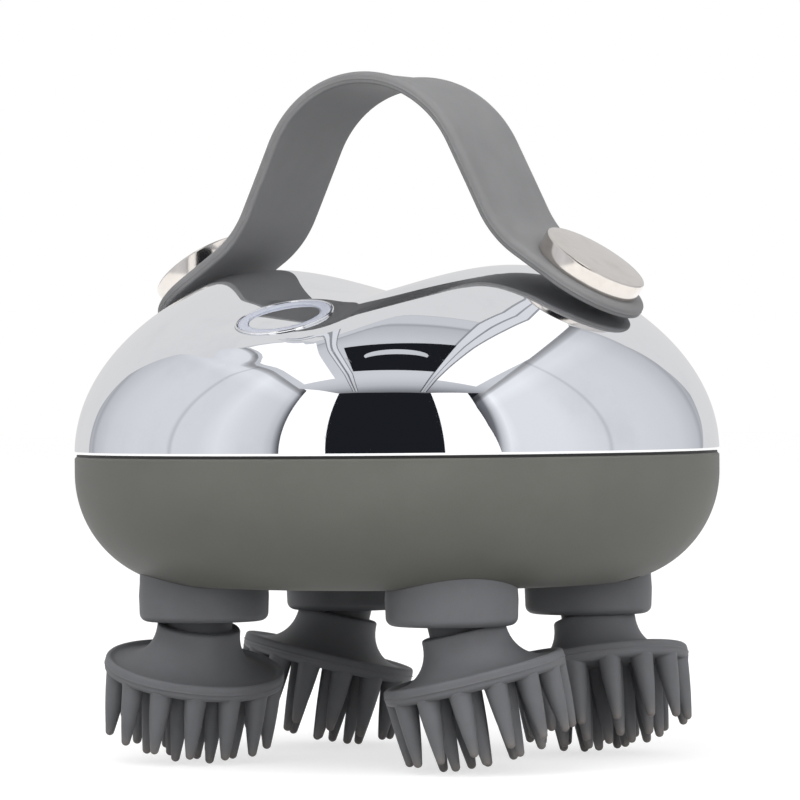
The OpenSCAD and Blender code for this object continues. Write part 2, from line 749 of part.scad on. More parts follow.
module gearbox_cover() {
    pillar_h = cover_z - gearbox_z - plate_thick;
    color("slategray") difference() {
        union() {
            translate([0, 0, cover_z]) linear_extrude(plate_thick) gearbox_plan();
            at_gearbox_screws() translate([0, 0, cover_z - pillar_h])
                cylinder(r = screw_post_r, h = pillar_h + plate_thick / 2);
        }
        at_gearbox_screws() translate([0, 0, gearbox_z])
            cylinder(d = small_screw_d + 2 * fixed_gap, h = cover_z);
        translate([0, 0, cover_z - over])
            cylinder(r = drive_d / 2 + face_gap, h = plate_thick + 2 * over);
        for (side = [-1, 1]) translate([side * motor_screw_x, 0, cover_z - over])
            cylinder(d = small_screw_d + 2 * fixed_gap, h = plate_thick + 2 * over);
    }
}

module gearbox_screws() {
    color("silver") at_gearbox_screws() {
        translate([0, 0, gearbox_screw_end + screw_tip_gap])
            cylinder(d = small_screw_d, h = motor_z - gearbox_screw_end);
        translate([0, 0, motor_z])
            cylinder(r = small_screw_d / 2 + screw_head_wall, h = screw_head_h);
    }
}

module shaft_bushings() {
    color("peru") for (station = STATIONS) at_station(station) {
        for (z = [gearbox_z, cover_z]) translate([0, 0, z])
            ring(bushing_r, shaft_d / 2 + run_gap, plate_thick);
        translate([0, 0, gearbox_z + plate_thick])
            ring(bushing_r + bushing_flange, shaft_d / 2 + run_gap, bushing_flange_t);
        translate([0, 0, cover_z - bushing_flange_t])
            ring(bushing_r + bushing_flange, shaft_d / 2 + run_gap, bushing_flange_t);
    }
}

module crank(station) {
    hub_bottom = pivot_z + crank_hub_gap;
    hub_top = gearbox_z - face_gap;
    color("silver") {
        at_station(station) {
            translate([0, 0, hub_bottom]) cylinder(r = crank_hub_r, h = hub_top - hub_bottom);
            translate([0, 0, hub_bottom]) cylinder(d = shaft_d, h = motor_z + face_gap - hub_bottom);
        }
        at_head(station) difference() {
            translate([0, 0, -pin_end]) cylinder(d = pin_d, h = pin_end + crank_hub_gap + over);
            translate([0, 0, -clip_depth - clip_t])
                ring(pin_d, pin_d / 2 - clip_groove, clip_t);
        }
    }
}

module crank_clip(station) {
    color("black") at_head(station) translate([0, 0, -clip_depth - clip_t + fixed_gap])
        ring(pin_d / 2 + clip_rim, pin_d / 2 - clip_groove + fixed_gap, clip_t - 2 * fixed_gap);
}

module head_core(station) {
    shoulder = bell_top - fixed_gap;
    pocket = clip_depth - face_gap;
    color("darkslategray") at_head(station) difference() {
        union() {
            translate([0, 0, -shoulder]) cylinder(d = neck_d, h = shoulder - core_top);
            translate([0, 0, -core_bottom]) cylinder(d = core_d, h = core_bottom - shoulder);
        }
        translate([0, 0, -core_bottom - over])
            cylinder(d = pin_d + 2 * run_gap, h = core_bottom + over);
        translate([0, 0, -core_bottom - over])
            cylinder(r = pin_d / 2 + clip_rim + face_gap, h = core_bottom + over - pocket);
    }
}

// Half section of a claw head, from the bell's top down to the disc's underside
function head_section() =
    let (rim_r = plate_d / 2, bell_r = bell_d / 2, flare = rim_r - bell_r,
        drop = plate_top - bell_top)
    [[core_d / 2 + fixed_gap, bell_top], [bell_r - 0.45, bell_top], [bell_r, bell_top + 0.35],
        [bell_r + 0.03 * flare, bell_top + 0.22 * drop],
        [bell_r + 0.08 * flare, bell_top + 0.42 * drop],
        [bell_r + 0.17 * flare, bell_top + 0.62 * drop],
        [bell_r + 0.3 * flare, bell_top + 0.79 * drop],
        [bell_r + 0.48 * flare, bell_top + 0.91 * drop],
        [bell_r + 0.7 * flare, bell_top + 0.97 * drop],
        [rim_r - 0.7, plate_top], [rim_r - 0.2, plate_top + 0.4],
        [rim_r, plate_top + 0.5 * plate_t], [rim_r - 0.2, plate_bottom - 0.7],
        [rim_r - 0.8, plate_bottom - 0.1], [rim_r - 1.3, plate_bottom], [0, plate_bottom],
        [0, core_bottom + bell_floor], [core_d / 2 + fixed_gap, core_bottom + bell_floor]];

module claw(length) {
    root_r = claw_root_d / 2;
    sunk = 0.4;
    rotate_extrude($fn = 24)
        polygon(concat([[0, sunk], [root_r, sunk], [root_r, 0]],
            [for (a = [0:30:90]) [claw_tip_r * cos(a),
                -(length - claw_tip_r) - claw_tip_r * sin(a)]]));
}

module massage_head(station) {
    color([0.34, 0.34, 0.36]) at_head(station) {
        rotate_extrude() polygon([for (p = head_section()) [p[0], -p[1]]]);
        for (ring_no = [0:2], i = [0:claw_counts[ring_no] - 1])
            rotate([0, 0, 180 + 360 * i / claw_counts[ring_no]])
                translate([claw_radii[ring_no], 0, -plate_bottom])
                    rotate([0, -claw_lean(ring_no), 0]) claw(claw_lengths[ring_no]);
    }
}

module collar(station) {
    bottom = base_z - collar_h;
    top = (base_z + seam_z) / 2;
    collar_r = collar_d / 2;
    bore_r = collar_bore / 2;
    edge = collar_edge;
    barrel = 0.1;
    taper = 0.3;
    color([0.36, 0.36, 0.38]) at_station(station) difference() {
        union() {
            difference() {
                rotate_extrude()
                    polygon(concat([[0, bottom]],
                        [for (a = [0:18:90]) [collar_r - edge + edge * sin(a),
                            bottom + edge - edge * cos(a)]],
                        [[collar_r + barrel, bottom + collar_h / 2 + edge],
                            [collar_r - taper, top], [0, top]]));
                at_station(-station) base_solid(fixed_gap);
            }
            translate([0, 0, base_z - over])
                cylinder(r = bore_r + spigot_wall, h = base_wall + 2 * over);
        }
        translate([0, 0, bottom - over]) cylinder(r = bore_r, h = top);
        translate([0, 0, bottom - over]) cylinder(r2 = bore_r,
            r1 = bore_r + collar_mouth * (1 + over / collar_mouth_h), h = collar_mouth_h + over);
    }
}

module motor() {
    color("silver") translate([0, 0, motor_z + reducer_l]) {
        cylinder(d = motor_d, h = motor_l - end_cap);
        cylinder(d = motor_d / 3, h = motor_l);
    }
}

module reducer() {
    color("gray") translate([0, 0, motor_z]) difference() {
        cylinder(d = reducer_d, h = reducer_l);
        translate([0, 0, -over])
            cylinder(d = drive_d + 2 * run_gap, h = over + shaft_in_reducer + 2 * face_gap);
        for (side = [-1, 1]) translate([side * motor_screw_x, 0, -over])
            cylinder(d = small_screw_d + 2 * fixed_gap, h = over + motor_screw_grip + face_gap);
    }
}

module motor_screws() {
    color("silver") for (side = [-1, 1])
        translate([side * motor_screw_x, 0, cover_z - motor_screw_head_h]) {
            cylinder(r = small_screw_d / 2 + screw_head_wall, h = motor_screw_head_h);
            cylinder(d = small_screw_d, h = motor_screw_head_h + plate_thick + motor_screw_grip);
        }
}

module battery_cell() {
    color("steelblue") translate([0, cell_y, cell_z]) rotate([0, 90, 0]) {
        translate([0, 0, -cell_l / 2]) cylinder(d = cell_d, h = cell_l - end_cap);
        translate([0, 0, -cell_l / 2]) cylinder(d = cell_d / 3, h = cell_l);
    }
}

module battery_cradle() {
    cradle_l = 0.76 * cell_l;
    cradle_w = cell_d + 1;
    cradle_h = cell_lift + 0.4 * cell_d;
    color("slategray") difference() {
        translate([-cradle_l / 2, cell_y - cradle_w / 2, motor_z])
            cube([cradle_l, cradle_w, cradle_h]);
        translate([-cradle_l / 2 - over, cell_y, cell_z]) rotate([0, 90, 0])
            cylinder(r = cell_d / 2 + fixed_gap, h = cradle_l + 2 * over);
        rotate([0, 0, 90]) translate([gearbox_screw_r, 0, motor_z - over])
            cylinder(r = small_screw_d / 2 + screw_head_wall + pocket_gap,
                h = over + screw_head_h + pocket_gap);
    }
}

module at_charge_port() {
    translate([0, body_r - base_corner + base_corner * cos(port_slope), seam_z - insert_drop])
        rotate([-90 - port_slope, 0, 0]) children();
}

module charge_insert() {
    color("dimgray") difference() {
        at_charge_port() translate([0, 0, -insert_length])
            cylinder(d = insert_d, h = insert_length - insert_sunk);
        at_charge_port() {
            translate([0, 0, -recess_depth - insert_sunk])
                cylinder(d = recess_d, h = recess_depth + over);
            for (side = [-1, 1]) translate([side * contact_x, 0, -insert_length - over])
                cylinder(d = contact_d + 2 * fixed_gap, h = insert_length);
        }
    }
}

module charge_contacts() {
    color("gold") at_charge_port() for (side = [-1, 1])
        translate([side * contact_x, 0, -insert_length - contact_tail])
            cylinder(d = contact_d, h = insert_length + contact_tail + contact_stand
                - recess_depth - insert_sunk);
}

module housing_screws() {
    color("silver") at_housing_screws() {
        translate([0, 0, screw_pocket_z - screw_head_h])
            cylinder(r = housing_screw_d / 2 + screw_head_wall, h = screw_head_h);
        translate([0, 0, screw_pocket_z - screw_head_h])
            cylinder(d = housing_screw_d, h = housing_screw_top - screw_pocket_z + screw_head_h);
    }
}

top_shell();
lower_shell();
seam_gasket();
strap();
strap_disc(-1);  // strap_disc_left
strap_disc(1);  // strap_disc_right
strap_nuts();
power_button();
button_light_ring();
button_frame();
control_board();
push_switch();
status_lights();
board_screws();
gearbox_base();
gearbox_cover();
gearbox_screws();
drive_shaft();
central_gear();
idler_gear(FRONT_RIGHT);  // idler_gear_front
idler_gear(BACK_LEFT);  // idler_gear_back
idler_pins();
shaft_bushings();
output_gear(FRONT_LEFT);  // output_gear_front_left
output_gear(FRONT_RIGHT);  // output_gear_front_right
output_gear(BACK_LEFT);  // output_gear_back_left
output_gear(BACK_RIGHT);  // output_gear_back_right
crank(FRONT_LEFT);  // crank_front_left
crank(FRONT_RIGHT);  // crank_front_right
crank(BACK_LEFT);  // crank_back_left
crank(BACK_RIGHT);  // crank_back_right
crank_clip(FRONT_LEFT);  // crank_clip_front_left
crank_clip(FRONT_RIGHT);  // crank_clip_front_right
crank_clip(BACK_LEFT);  // crank_clip_back_left
crank_clip(BACK_RIGHT);  // crank_clip_back_right
head_core(FRONT_LEFT);  // head_core_front_left
head_core(FRONT_RIGHT);  // head_core_front_right
head_core(BACK_LEFT);  // head_core_back_left
head_core(BACK_RIGHT);  // head_core_back_right
massage_head(FRONT_LEFT);  // massage_head_front_left
massage_head(FRONT_RIGHT);  // massage_head_front_right
massage_head(BACK_LEFT);  // massage_head_back_left
massage_head(BACK_RIGHT);  // massage_head_back_right
collar(FRONT_LEFT);  // collar_front_left
collar(FRONT_RIGHT);  // collar_front_right
collar(BACK_LEFT);  // collar_back_left
collar(BACK_RIGHT);  // collar_back_right
motor();
reducer();
motor_screws();
battery_cell();
battery_cradle();
charge_insert();
charge_contacts();
housing_screws();
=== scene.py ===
import json
import math

import bmesh
import bpy
from mathutils import Matrix, Vector


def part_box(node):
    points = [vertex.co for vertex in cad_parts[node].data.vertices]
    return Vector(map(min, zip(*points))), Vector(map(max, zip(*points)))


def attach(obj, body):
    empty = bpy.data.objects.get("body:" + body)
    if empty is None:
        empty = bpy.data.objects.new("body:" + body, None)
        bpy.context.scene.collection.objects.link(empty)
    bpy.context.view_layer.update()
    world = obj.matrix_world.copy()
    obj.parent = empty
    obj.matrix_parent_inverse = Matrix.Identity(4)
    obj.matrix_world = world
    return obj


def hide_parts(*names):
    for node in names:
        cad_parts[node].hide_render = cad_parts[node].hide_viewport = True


# An electric scalp massager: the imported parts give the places, and the dressed pieces are made here.
# All sizes are metres, all angles degrees. The front is -Y and the strap runs along X.
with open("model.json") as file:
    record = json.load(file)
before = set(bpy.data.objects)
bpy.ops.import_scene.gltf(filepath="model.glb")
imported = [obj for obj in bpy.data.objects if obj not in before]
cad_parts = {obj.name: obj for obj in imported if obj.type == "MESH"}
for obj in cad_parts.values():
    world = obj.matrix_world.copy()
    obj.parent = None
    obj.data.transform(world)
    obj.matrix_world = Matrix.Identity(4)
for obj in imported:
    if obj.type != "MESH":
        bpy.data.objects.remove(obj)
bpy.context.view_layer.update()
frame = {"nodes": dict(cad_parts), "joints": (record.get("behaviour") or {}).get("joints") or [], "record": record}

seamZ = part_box("top_shell")[0].z
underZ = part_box("lower_shell")[0].z
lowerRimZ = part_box("lower_shell")[1].z
turnPoints = {joint["child"]: Vector(joint["pos_m"]) for joint in frame["joints"] if "pos_m" in joint}
stations = ["front_left", "front_right", "back_left", "back_right"]


def srgb(red, green, blue):
    # a colour read off a screen, 0 to 255, as the shader wants it
    linear = []
    for value in (red, green, blue):
        part = value / 255
        linear.append(part / 12.92 if part <= 0.04045 else ((part + 0.055) / 1.055) ** 2.4)
    return (*linear, 1.0)


def arc(centreR, centreZ, radius, start, end, steps):
    # points on an arc, angles measured from the outward direction
    points = []
    for step in range(steps + 1):
        angle = math.radians(start + (end - start) * step / steps)
        points.append((centreR + radius * math.cos(angle), centreZ + radius * math.sin(angle)))
    return points


def lathe(profile, sides=96, loop=False):
    # spins (radius, height) points round Z; a loop profile closes on itself
    bm = bmesh.new()
    rings = []
    for radius, height in profile:
        if radius < 1e-7:
            rings.append([bm.verts.new((0, 0, height))])
            continue
        turns = [2 * math.pi * side / sides for side in range(sides)]
        rings.append([bm.verts.new((radius * math.cos(a), radius * math.sin(a), height)) for a in turns])
    pairs = list(zip(rings, rings[1:]))
    if loop:
        pairs.append((rings[-1], rings[0]))
    for upper, lower in pairs:
        for side in range(sides):
            after = (side + 1) % sides
            corners = [upper[side % len(upper)], upper[after % len(upper)],
                       lower[after % len(lower)], lower[side % len(lower)]]
            face = list(dict.fromkeys(corners))
            if len(face) > 2:
                bm.faces.new(face)
    turnOutwards(bm)
    return bm


def rod(radius, top, bottom, sides=64):
    return lathe([(0, top), (radius, top), (radius, bottom), (0, bottom)], sides)


def turnOutwards(bm):
    if bm.calc_volume(signed=True) < 0:
        bmesh.ops.reverse_faces(bm, faces=bm.faces)


def addMesh(target, source, matrix=None):
    # adds the faces of one bmesh to another, moved by the matrix
    if matrix is not None:
        source.transform(matrix)
    mesh = bpy.data.meshes.new("passing")
    source.to_mesh(mesh)
    source.free()
    target.from_mesh(mesh)
    bpy.data.meshes.remove(mesh)


def newObject(name, bm, material=None):
    mesh = bpy.data.meshes.new(name)
    bm.to_mesh(mesh)
    bm.free()
    if material:
        mesh.materials.append(material)
    piece = bpy.data.objects.new(name, mesh)
    bpy.context.scene.collection.objects.link(piece)
    return piece


def bake(piece):
    # replaces the live modifiers by their result
    bpy.context.view_layer.update()
    graph = bpy.context.evaluated_depsgraph_get()
    mesh = bpy.data.meshes.new_from_object(
        piece.evaluated_get(graph), preserve_all_data_layers=True, depsgraph=graph)
    piece.modifiers.clear()
    piece.data = mesh
    return piece


def forget(*pieces):
    for piece in pieces:
        bpy.data.objects.remove(piece)


def cut(piece, *cutters):
    for cutter in cutters:
        knife = piece.modifiers.new("cut", "BOOLEAN")
        knife.operation = "DIFFERENCE"
        knife.solver = "EXACT"
        knife.object = cutter


def settle(piece, body, replaced, sharp=35):
    # smooth faces with crisp edges; the piece hangs on its body, and the imported parts it stands for are hidden
    piece.data.shade_smooth()
    piece.data.set_sharp_from_angle(angle=math.radians(sharp))
    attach(piece, body)
    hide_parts(*replaced)
    return piece


def newGroup(name, inputs, outputs):
    group = bpy.data.node_groups.new(name, "ShaderNodeTree")
    for label, value in inputs.items():
        kind = "NodeSocketVector" if value is None else "NodeSocketFloat"
        socket = group.interface.new_socket(label, in_out="INPUT", socket_type=kind)
        if value is not None:
            socket.default_value = value
    for label in outputs:
        group.interface.new_socket(label, in_out="OUTPUT", socket_type="NodeSocketFloat")
    start = group.nodes.new("NodeGroupInput")
    end = group.nodes.new("NodeGroupOutput")
    return group, start.outputs, end.inputs


def link(tree, source, target):
    tree.links.new(source, target)


def calc(tree, operation, *values):
    # one maths node; each value is a number or a socket
    node = tree.nodes.new("ShaderNodeMath")
    node.operation = operation
    for socket, value in zip(node.inputs, values):
        if isinstance(value, bpy.types.NodeSocket):
            tree.links.new(value, socket)
        else:
            socket.default_value = value
    return node.outputs[0]


def noise(tree, vector, scale, detail=4.0, roughness=0.5):
    node = tree.nodes.new("ShaderNodeTexNoise")
    node.inputs["Detail"].default_value = detail
    node.inputs["Roughness"].default_value = roughness
    tree.links.new(vector, node.inputs["Vector"])
    if isinstance(scale, bpy.types.NodeSocket):
        tree.links.new(scale, node.inputs["Scale"])
    else:
        node.inputs["Scale"].default_value = scale
    return node.outputs["Fac"]


def remap(tree, value, low, high, newLow=0.0, newHigh=1.0, smooth=True):
    node = tree.nodes.new("ShaderNodeMapRange")
    node.interpolation_type = "SMOOTHSTEP" if smooth else "LINEAR"
    node.inputs["From Min"].default_value = low
    node.inputs["From Max"].default_value = high
    node.inputs["To Min"].default_value = newLow
    node.inputs["To Max"].default_value = newHigh
    tree.links.new(value, node.inputs["Value"])
    return node.outputs["Result"]


def makeGrainGroup():
    # fine skin of moulded rubber and plastic: a height for the bump and a slow mottle
    group, given, result = newGroup("mouldedGrain", {"Vector": None, "Scale": 4000.0, "Depth": 1.0},
                                    ["Height", "Mottle"])
    fine = noise(group, given["Vector"], given["Scale"], 3.0, 0.6)
    coarse = noise(group, given["Vector"], calc(group, "MULTIPLY", given["Scale"], 0.22), 2.0)
    both = calc(group, "ADD", calc(group, "MULTIPLY", fine, 0.7), calc(group, "MULTIPLY", coarse, 0.3))
    link(group, calc(group, "MULTIPLY", both, given["Depth"]), result["Height"])
    slow = noise(group, given["Vector"], calc(group, "MULTIPLY", given["Scale"], 0.02), 5.0, 0.6)
    link(group, slow, result["Mottle"])
    return group


def makeDustGroup():
    # sparse light specks, as rubber picks them up
    group, given, result = newGroup("dustSpecks", {"Vector": None, "Scale": 260.0, "Amount": 0.1}, ["Mask"])
    cells = group.nodes.new("ShaderNodeTexVoronoi")
    link(group, given["Vector"], cells.inputs["Vector"])
    link(group, given["Scale"], cells.inputs["Scale"])
    near = remap(group, cells.outputs["Distance"], 0.03, 0.075, 1.0, 0.0)
    pick = group.nodes.new("ShaderNodeSeparateColor")
    link(group, cells.outputs["Color"], pick.inputs["Color"])
    chosen = calc(group, "LESS_THAN", pick.outputs["Red"], given["Amount"])
    link(group, calc(group, "MULTIPLY", near, chosen), result["Mask"])
    return group


def makeSmudgeGroup():
    # the faint haze and fine scratches that handling leaves on bright metal
    group, given, result = newGroup("handling", {"Vector": None, "Scale": 60.0}, ["Haze", "Scratch"])
    slow = noise(group, given["Vector"], given["Scale"], 6.0, 0.65)
    link(group, remap(group, slow, 0.48, 0.75), result["Haze"])
    stretch = group.nodes.new("ShaderNodeMapping")
    stretch.inputs["Scale"].default_value = (1.0, 14.0, 3.0)
    stretch.inputs["Rotation"].default_value = (0.3, 0.5, 0.9)
    link(group, given["Vector"], stretch.inputs["Vector"])
    lines = noise(group, stretch.outputs["Vector"], calc(group, "MULTIPLY", given["Scale"], 5.0), 2.0)
    link(group, remap(group, lines, 0.66, 0.74), result["Scratch"])
    return group


grainGroup = makeGrainGroup()
dustGroup = makeDustGroup()
smudgeGroup = makeSmudgeGroup()


class Finish:
    # one material with its Principled shader and the nodes round it
    def __init__(self, name, **values):
        self.material = bpy.data.materials.new(name)
        self.material.use_nodes = True
        self.tree = self.material.node_tree
        self.shader = self.tree.nodes["Principled BSDF"]
        self.place = self.tree.nodes.new("ShaderNodeTexCoord").outputs["Object"]
        for label, value in values.items():
            self.shader.inputs[label.replace("_", " ")].default_value = value

    def group(self, group, **values):
        node = self.tree.nodes.new("ShaderNodeGroup")
        node.node_tree = group
        link(self.tree, self.place, node.inputs["Vector"])
        for label, value in values.items():
            node.inputs[label].default_value = value
        return node.outputs

    def mix(self, mask, first, second):
        node = self.tree.nodes.new("ShaderNodeMix")
        node.data_type = "RGBA"
        colours = [socket for socket in node.inputs if socket.type == "RGBA"]
        for socket, value in zip(colours, (first, second)):
            if isinstance(value, bpy.types.NodeSocket):
                link(self.tree, value, socket)
            else:
                socket.default_value = value
        link(self.tree, mask, node.inputs["Factor"])
        return [socket for socket in node.outputs if socket.type == "RGBA"][0]

    def bump(self, height, strength, distance):
        node = self.tree.nodes.new("ShaderNodeBump")
        node.inputs["Strength"].default_value = strength
        node.inputs["Distance"].default_value = distance
        link(self.tree, height, node.inputs["Height"])
        link(self.tree, node.outputs["Normal"], self.shader.inputs["Normal"])

    def feed(self, label, socket):
        link(self.tree, socket, self.shader.inputs[label])


def rubberFinish(name, dark, light, rough, grainScale, grainDepth, dust):
    finish = Finish(name)
    grain = finish.group(grainGroup, Scale=grainScale, Depth=1.0)
    tone = finish.mix(remap(finish.tree, grain["Mottle"], 0.3, 0.7), dark, light)
    specks = finish.group(dustGroup, Scale=330.0, Amount=dust)
    dustTone = tuple(min(1.0, 2.2 * part + 0.06) for part in light[:3]) + (1.0,)
    finish.feed("Base Color", finish.mix(specks["Mask"], tone, dustTone))
    finish.feed("Roughness", remap(finish.tree, grain["Mottle"], 0.2, 0.8, rough - 0.05, rough + 0.06))
    finish.bump(grain["Height"], grainDepth, 0.00008)
    finish.shader.inputs["Specular IOR Level"].default_value = 0.35
    return finish.material


def metalFinish(name, tone, haze, rough, hazeRough, scale=60.0, scratch=0.05):
    finish = Finish(name, Metallic=1.0)
    marks = finish.group(smudgeGroup, Scale=scale)
    finish.feed("Base Color", finish.mix(marks["Haze"], tone, haze))
    base = remap(finish.tree, marks["Haze"], 0.0, 1.0, rough, hazeRough, smooth=False)
    worn = calc(finish.tree, "MULTIPLY", marks["Scratch"], scratch)
    finish.feed("Roughness", calc(finish.tree, "ADD", base, worn))
    return finish.material


def plasticFinish(name, tone, rough, scale=2500.0, spread=0.12):
    finish = Finish(name)
    grain = finish.group(grainGroup, Scale=scale, Depth=1.0)
    dark = tuple(part * (1 - spread) for part in tone[:3]) + (1.0,)
    light = tuple(min(1.0, part * (1 + spread)) for part in tone[:3]) + (1.0,)
    finish.feed("Base Color", finish.mix(remap(finish.tree, grain["Mottle"], 0.3, 0.7), dark, light))
    finish.feed("Roughness", remap(finish.tree, grain["Mottle"], 0.2, 0.8, rough - 0.06, rough + 0.08))
    finish.bump(grain["Height"], 0.15, 0.00006)
    return finish.material


finishes = {
    "dome_chrome": metalFinish("domeChrome", srgb(247, 248, 250), srgb(240, 241, 244), 0.012, 0.03),
    "base_soft_touch": rubberFinish("softTouch", srgb(94, 94, 89), srgb(99, 99, 94), 0.55,
                                    3800.0, 0.25, 0.02),
    "seal_rubber": rubberFinish("sealRubber", srgb(26, 26, 26), srgb(34, 34, 34), 0.6, 3000.0, 0.2, 0.0),
    "strap_silicone": rubberFinish("strapSilicone", srgb(119, 119, 120), srgb(126, 126, 127), 0.58,
                                   5200.0, 0.2, 0.05),
    "disc_nickel": metalFinish("discNickel", srgb(226, 220, 214), srgb(214, 207, 200), 0.14, 0.22, 140.0),
    "nut_brass": metalFinish("nutBrass", srgb(214, 180, 108), srgb(190, 150, 84), 0.25, 0.4, 200.0),
    "button_mirror": metalFinish("buttonMirror", srgb(247, 248, 250), srgb(238, 239, 242), 0.012, 0.035,
                                 150.0),
    "ring_translucent": plasticFinish("ringPlastic", srgb(174, 178, 191), 0.32, 1800.0, 0.04),
    "frame_bright": metalFinish("frameBright", srgb(240, 240, 242), srgb(226, 227, 230), 0.06, 0.14, 120.0),
    "board_green": plasticFinish("boardGreen", srgb(24, 84, 52), 0.4, 900.0, 0.25),
    "switch_black": plasticFinish("switchBlack", srgb(32, 32, 34), 0.45),
    "light_white": plasticFinish("lightWhite", srgb(240, 238, 222), 0.3),
    "screw_steel": metalFinish("screwSteel", srgb(196, 196, 200), srgb(150, 150, 156), 0.28, 0.42, 300.0),
    "gearbox_plastic": plasticFinish("gearboxPlastic", srgb(92, 100, 112), 0.5),
    "gear_acetal": plasticFinish("gearAcetal", srgb(236, 230, 212), 0.38, 1800.0, 0.05),
    "shaft_steel": metalFinish("shaftSteel", srgb(206, 206, 210), srgb(168, 168, 174), 0.16, 0.3, 240.0),
    "bushing_bronze": metalFinish("bushingBronze", srgb(196, 146, 96), srgb(142, 98, 62), 0.35, 0.5, 400.0),
    "core_plastic": rubberFinish("corePlastic", srgb(58, 59, 62), srgb(66, 67, 70), 0.55, 3000.0, 0.15, 0.0),
    "motor_steel": metalFinish("motorSteel", srgb(200, 202, 206), srgb(160, 162, 168), 0.25, 0.4, 160.0),
    "reducer_metal": metalFinish("reducerMetal", srgb(160, 164, 170), srgb(120, 124, 130), 0.35, 0.5, 200.0),
    "cell_wrap": plasticFinish("cellWrap", srgb(70, 120, 170), 0.3, 1200.0, 0.08),
    "insert_plastic": plasticFinish("insertPlastic", srgb(44, 44, 45), 0.5),
    "contact_gold": metalFinish("contactGold", srgb(232, 196, 112), srgb(206, 164, 84), 0.15, 0.28, 300.0),
}


def makeHeadSilicone():
    # dark silicone; the thin claw tips let some warm light through
    finish = Finish("headSilicone")
    grain = finish.group(grainGroup, Scale=4200.0, Depth=1.0)
    mottle = remap(finish.tree, grain["Mottle"], 0.3, 0.7)
    body = finish.mix(mottle, srgb(97, 98, 101), srgb(104, 105, 108))
    tip = finish.tree.nodes.new("ShaderNodeAttribute")
    tip.attribute_name = "tipShare"
    tone = finish.mix(tip.outputs["Fac"], body, srgb(126, 119, 114))
    specks = finish.group(dustGroup, Scale=300.0, Amount=0.07)
    finish.feed("Base Color", finish.mix(specks["Mask"], tone, srgb(170, 170, 170)))
    finish.feed("Roughness", remap(finish.tree, grain["Mottle"], 0.2, 0.8, 0.5, 0.62))
    finish.bump(grain["Height"], 0.2, 0.00008)
    finish.shader.inputs["Specular IOR Level"].default_value = 0.35
    return finish.material


finishes["head_silicone"] = makeHeadSilicone()
for subpart in frame["record"]["subparts"]:
    node = frame["nodes"][subpart["node"]]
    node.data.materials.clear()
    node.data.materials.append(finishes[subpart["material_slot"]])
print("finishes:", len(finishes), "materials on", len(frame["nodes"]), "parts")


def newGeometryTree(name, inputs):
    tree = bpy.data.node_groups.new(name, "GeometryNodeTree")
    tree.interface.new_socket("Geometry", in_out="INPUT", socket_type="NodeSocketGeometry")
    for label, kind in inputs.items():
        tree.interface.new_socket(label, in_out="INPUT", socket_type="NodeSocket" + kind)
    tree.interface.new_socket("Geometry", in_out="OUTPUT", socket_type="NodeSocketGeometry")
    start = tree.nodes.new("NodeGroupInput")
    end = tree.nodes.new("NodeGroupOutput")
    return tree, start.outputs, end.inputs["Geometry"]


def closeTree(tree, geometry, material, end):
    # every tree ends in real geometry with its material
    real = tree.nodes.new("GeometryNodeRealizeInstances")
    paint = tree.nodes.new("GeometryNodeSetMaterial")
    link(tree, geometry, real.inputs["Geometry"])
    link(tree, real.outputs["Geometry"], paint.inputs["Geometry"])
    link(tree, material, paint.inputs["Material"])
    link(tree, paint.outputs["Geometry"], end)


def growWith(piece, tree, values):
    modifier = piece.modifiers.new(tree.name, "NODES")
    modifier.node_group = tree
    for item in tree.interface.items_tree:
        if item.in_out == "INPUT" and item.name in values:
            modifier[item.identifier] = values[item.name]
    return modifier


dome = {
    "radius": 0.055,
    "height": 0.0356,          # of the round dome without its saddle
    "saddleHeight": 0.0275,
    "saddleRise": 0.046,       # radius towards the strap's feet
    "saddleFall": 0.14,        # radius towards the front and back
    "edgeBlend": 0.005,
    "wall": 0.0022,
    "rimRound": 0.0003,
    "rimAngle": 60,
    "drillReach": 0.01,
    "sides": 240,
    "rings": 110,
}
button = {
    "fromMiddle": 0.0368,
    "tilt": 20,
    "bezelRadius": 0.0083,
    "bezelWidth": 0.00045,
    "bezelHeight": 0.00035,
    "ringWidth": 0.0017,
    "seatMargin": 0.0006,
    "seatRun": 0.005,
    "play": 0.00005,
}


def domeRule(tree, x, y, given):
    # the lower of the round dome and the saddle, with a rounded edge between them
    xx = calc(tree, "MULTIPLY", x, x)
    yy = calc(tree, "MULTIPLY", y, y)
    share = calc(tree, "DIVIDE", calc(tree, "ADD", xx, yy),
                 calc(tree, "MULTIPLY", given["Radius"], given["Radius"]))
    rest = calc(tree, "MAXIMUM", calc(tree, "SUBTRACT", 1.0, share), 0.0)
    roundTop = calc(tree, "MULTIPLY", calc(tree, "SQRT", rest), given["Height"])
    rise = calc(tree, "DIVIDE", xx, calc(tree, "MULTIPLY", given["Saddle Rise"], 2.0))
    fall = calc(tree, "DIVIDE", yy, calc(tree, "MULTIPLY", given["Saddle Fall"], 2.0))
    saddle = calc(tree, "ADD", given["Saddle Height"], calc(tree, "SUBTRACT", rise, fall))
    gap = calc(tree, "ABSOLUTE", calc(tree, "SUBTRACT", roundTop, saddle))
    near = calc(tree, "MAXIMUM", calc(tree, "SUBTRACT", given["Edge Blend"], gap), 0.0)
    easing = calc(tree, "DIVIDE", calc(tree, "MULTIPLY", near, near),
                  calc(tree, "MULTIPLY", given["Edge Blend"], 4.0))
    return calc(tree, "SUBTRACT", calc(tree, "MINIMUM", roundTop, saddle), easing)


def freeHeight(x, y):
    # the same rule for a single spot
    roundTop = dome["height"] * math.sqrt(max(0.0, 1 - (x * x + y * y) / dome["radius"] ** 2))
    saddle = dome["saddleHeight"] + x * x / (2 * dome["saddleRise"]) - y * y / (2 * dome["saddleFall"])
    near = max(0.0, dome["edgeBlend"] - abs(roundTop - saddle))
    return min(roundTop, saddle) - near * near / (4 * dome["edgeBlend"])


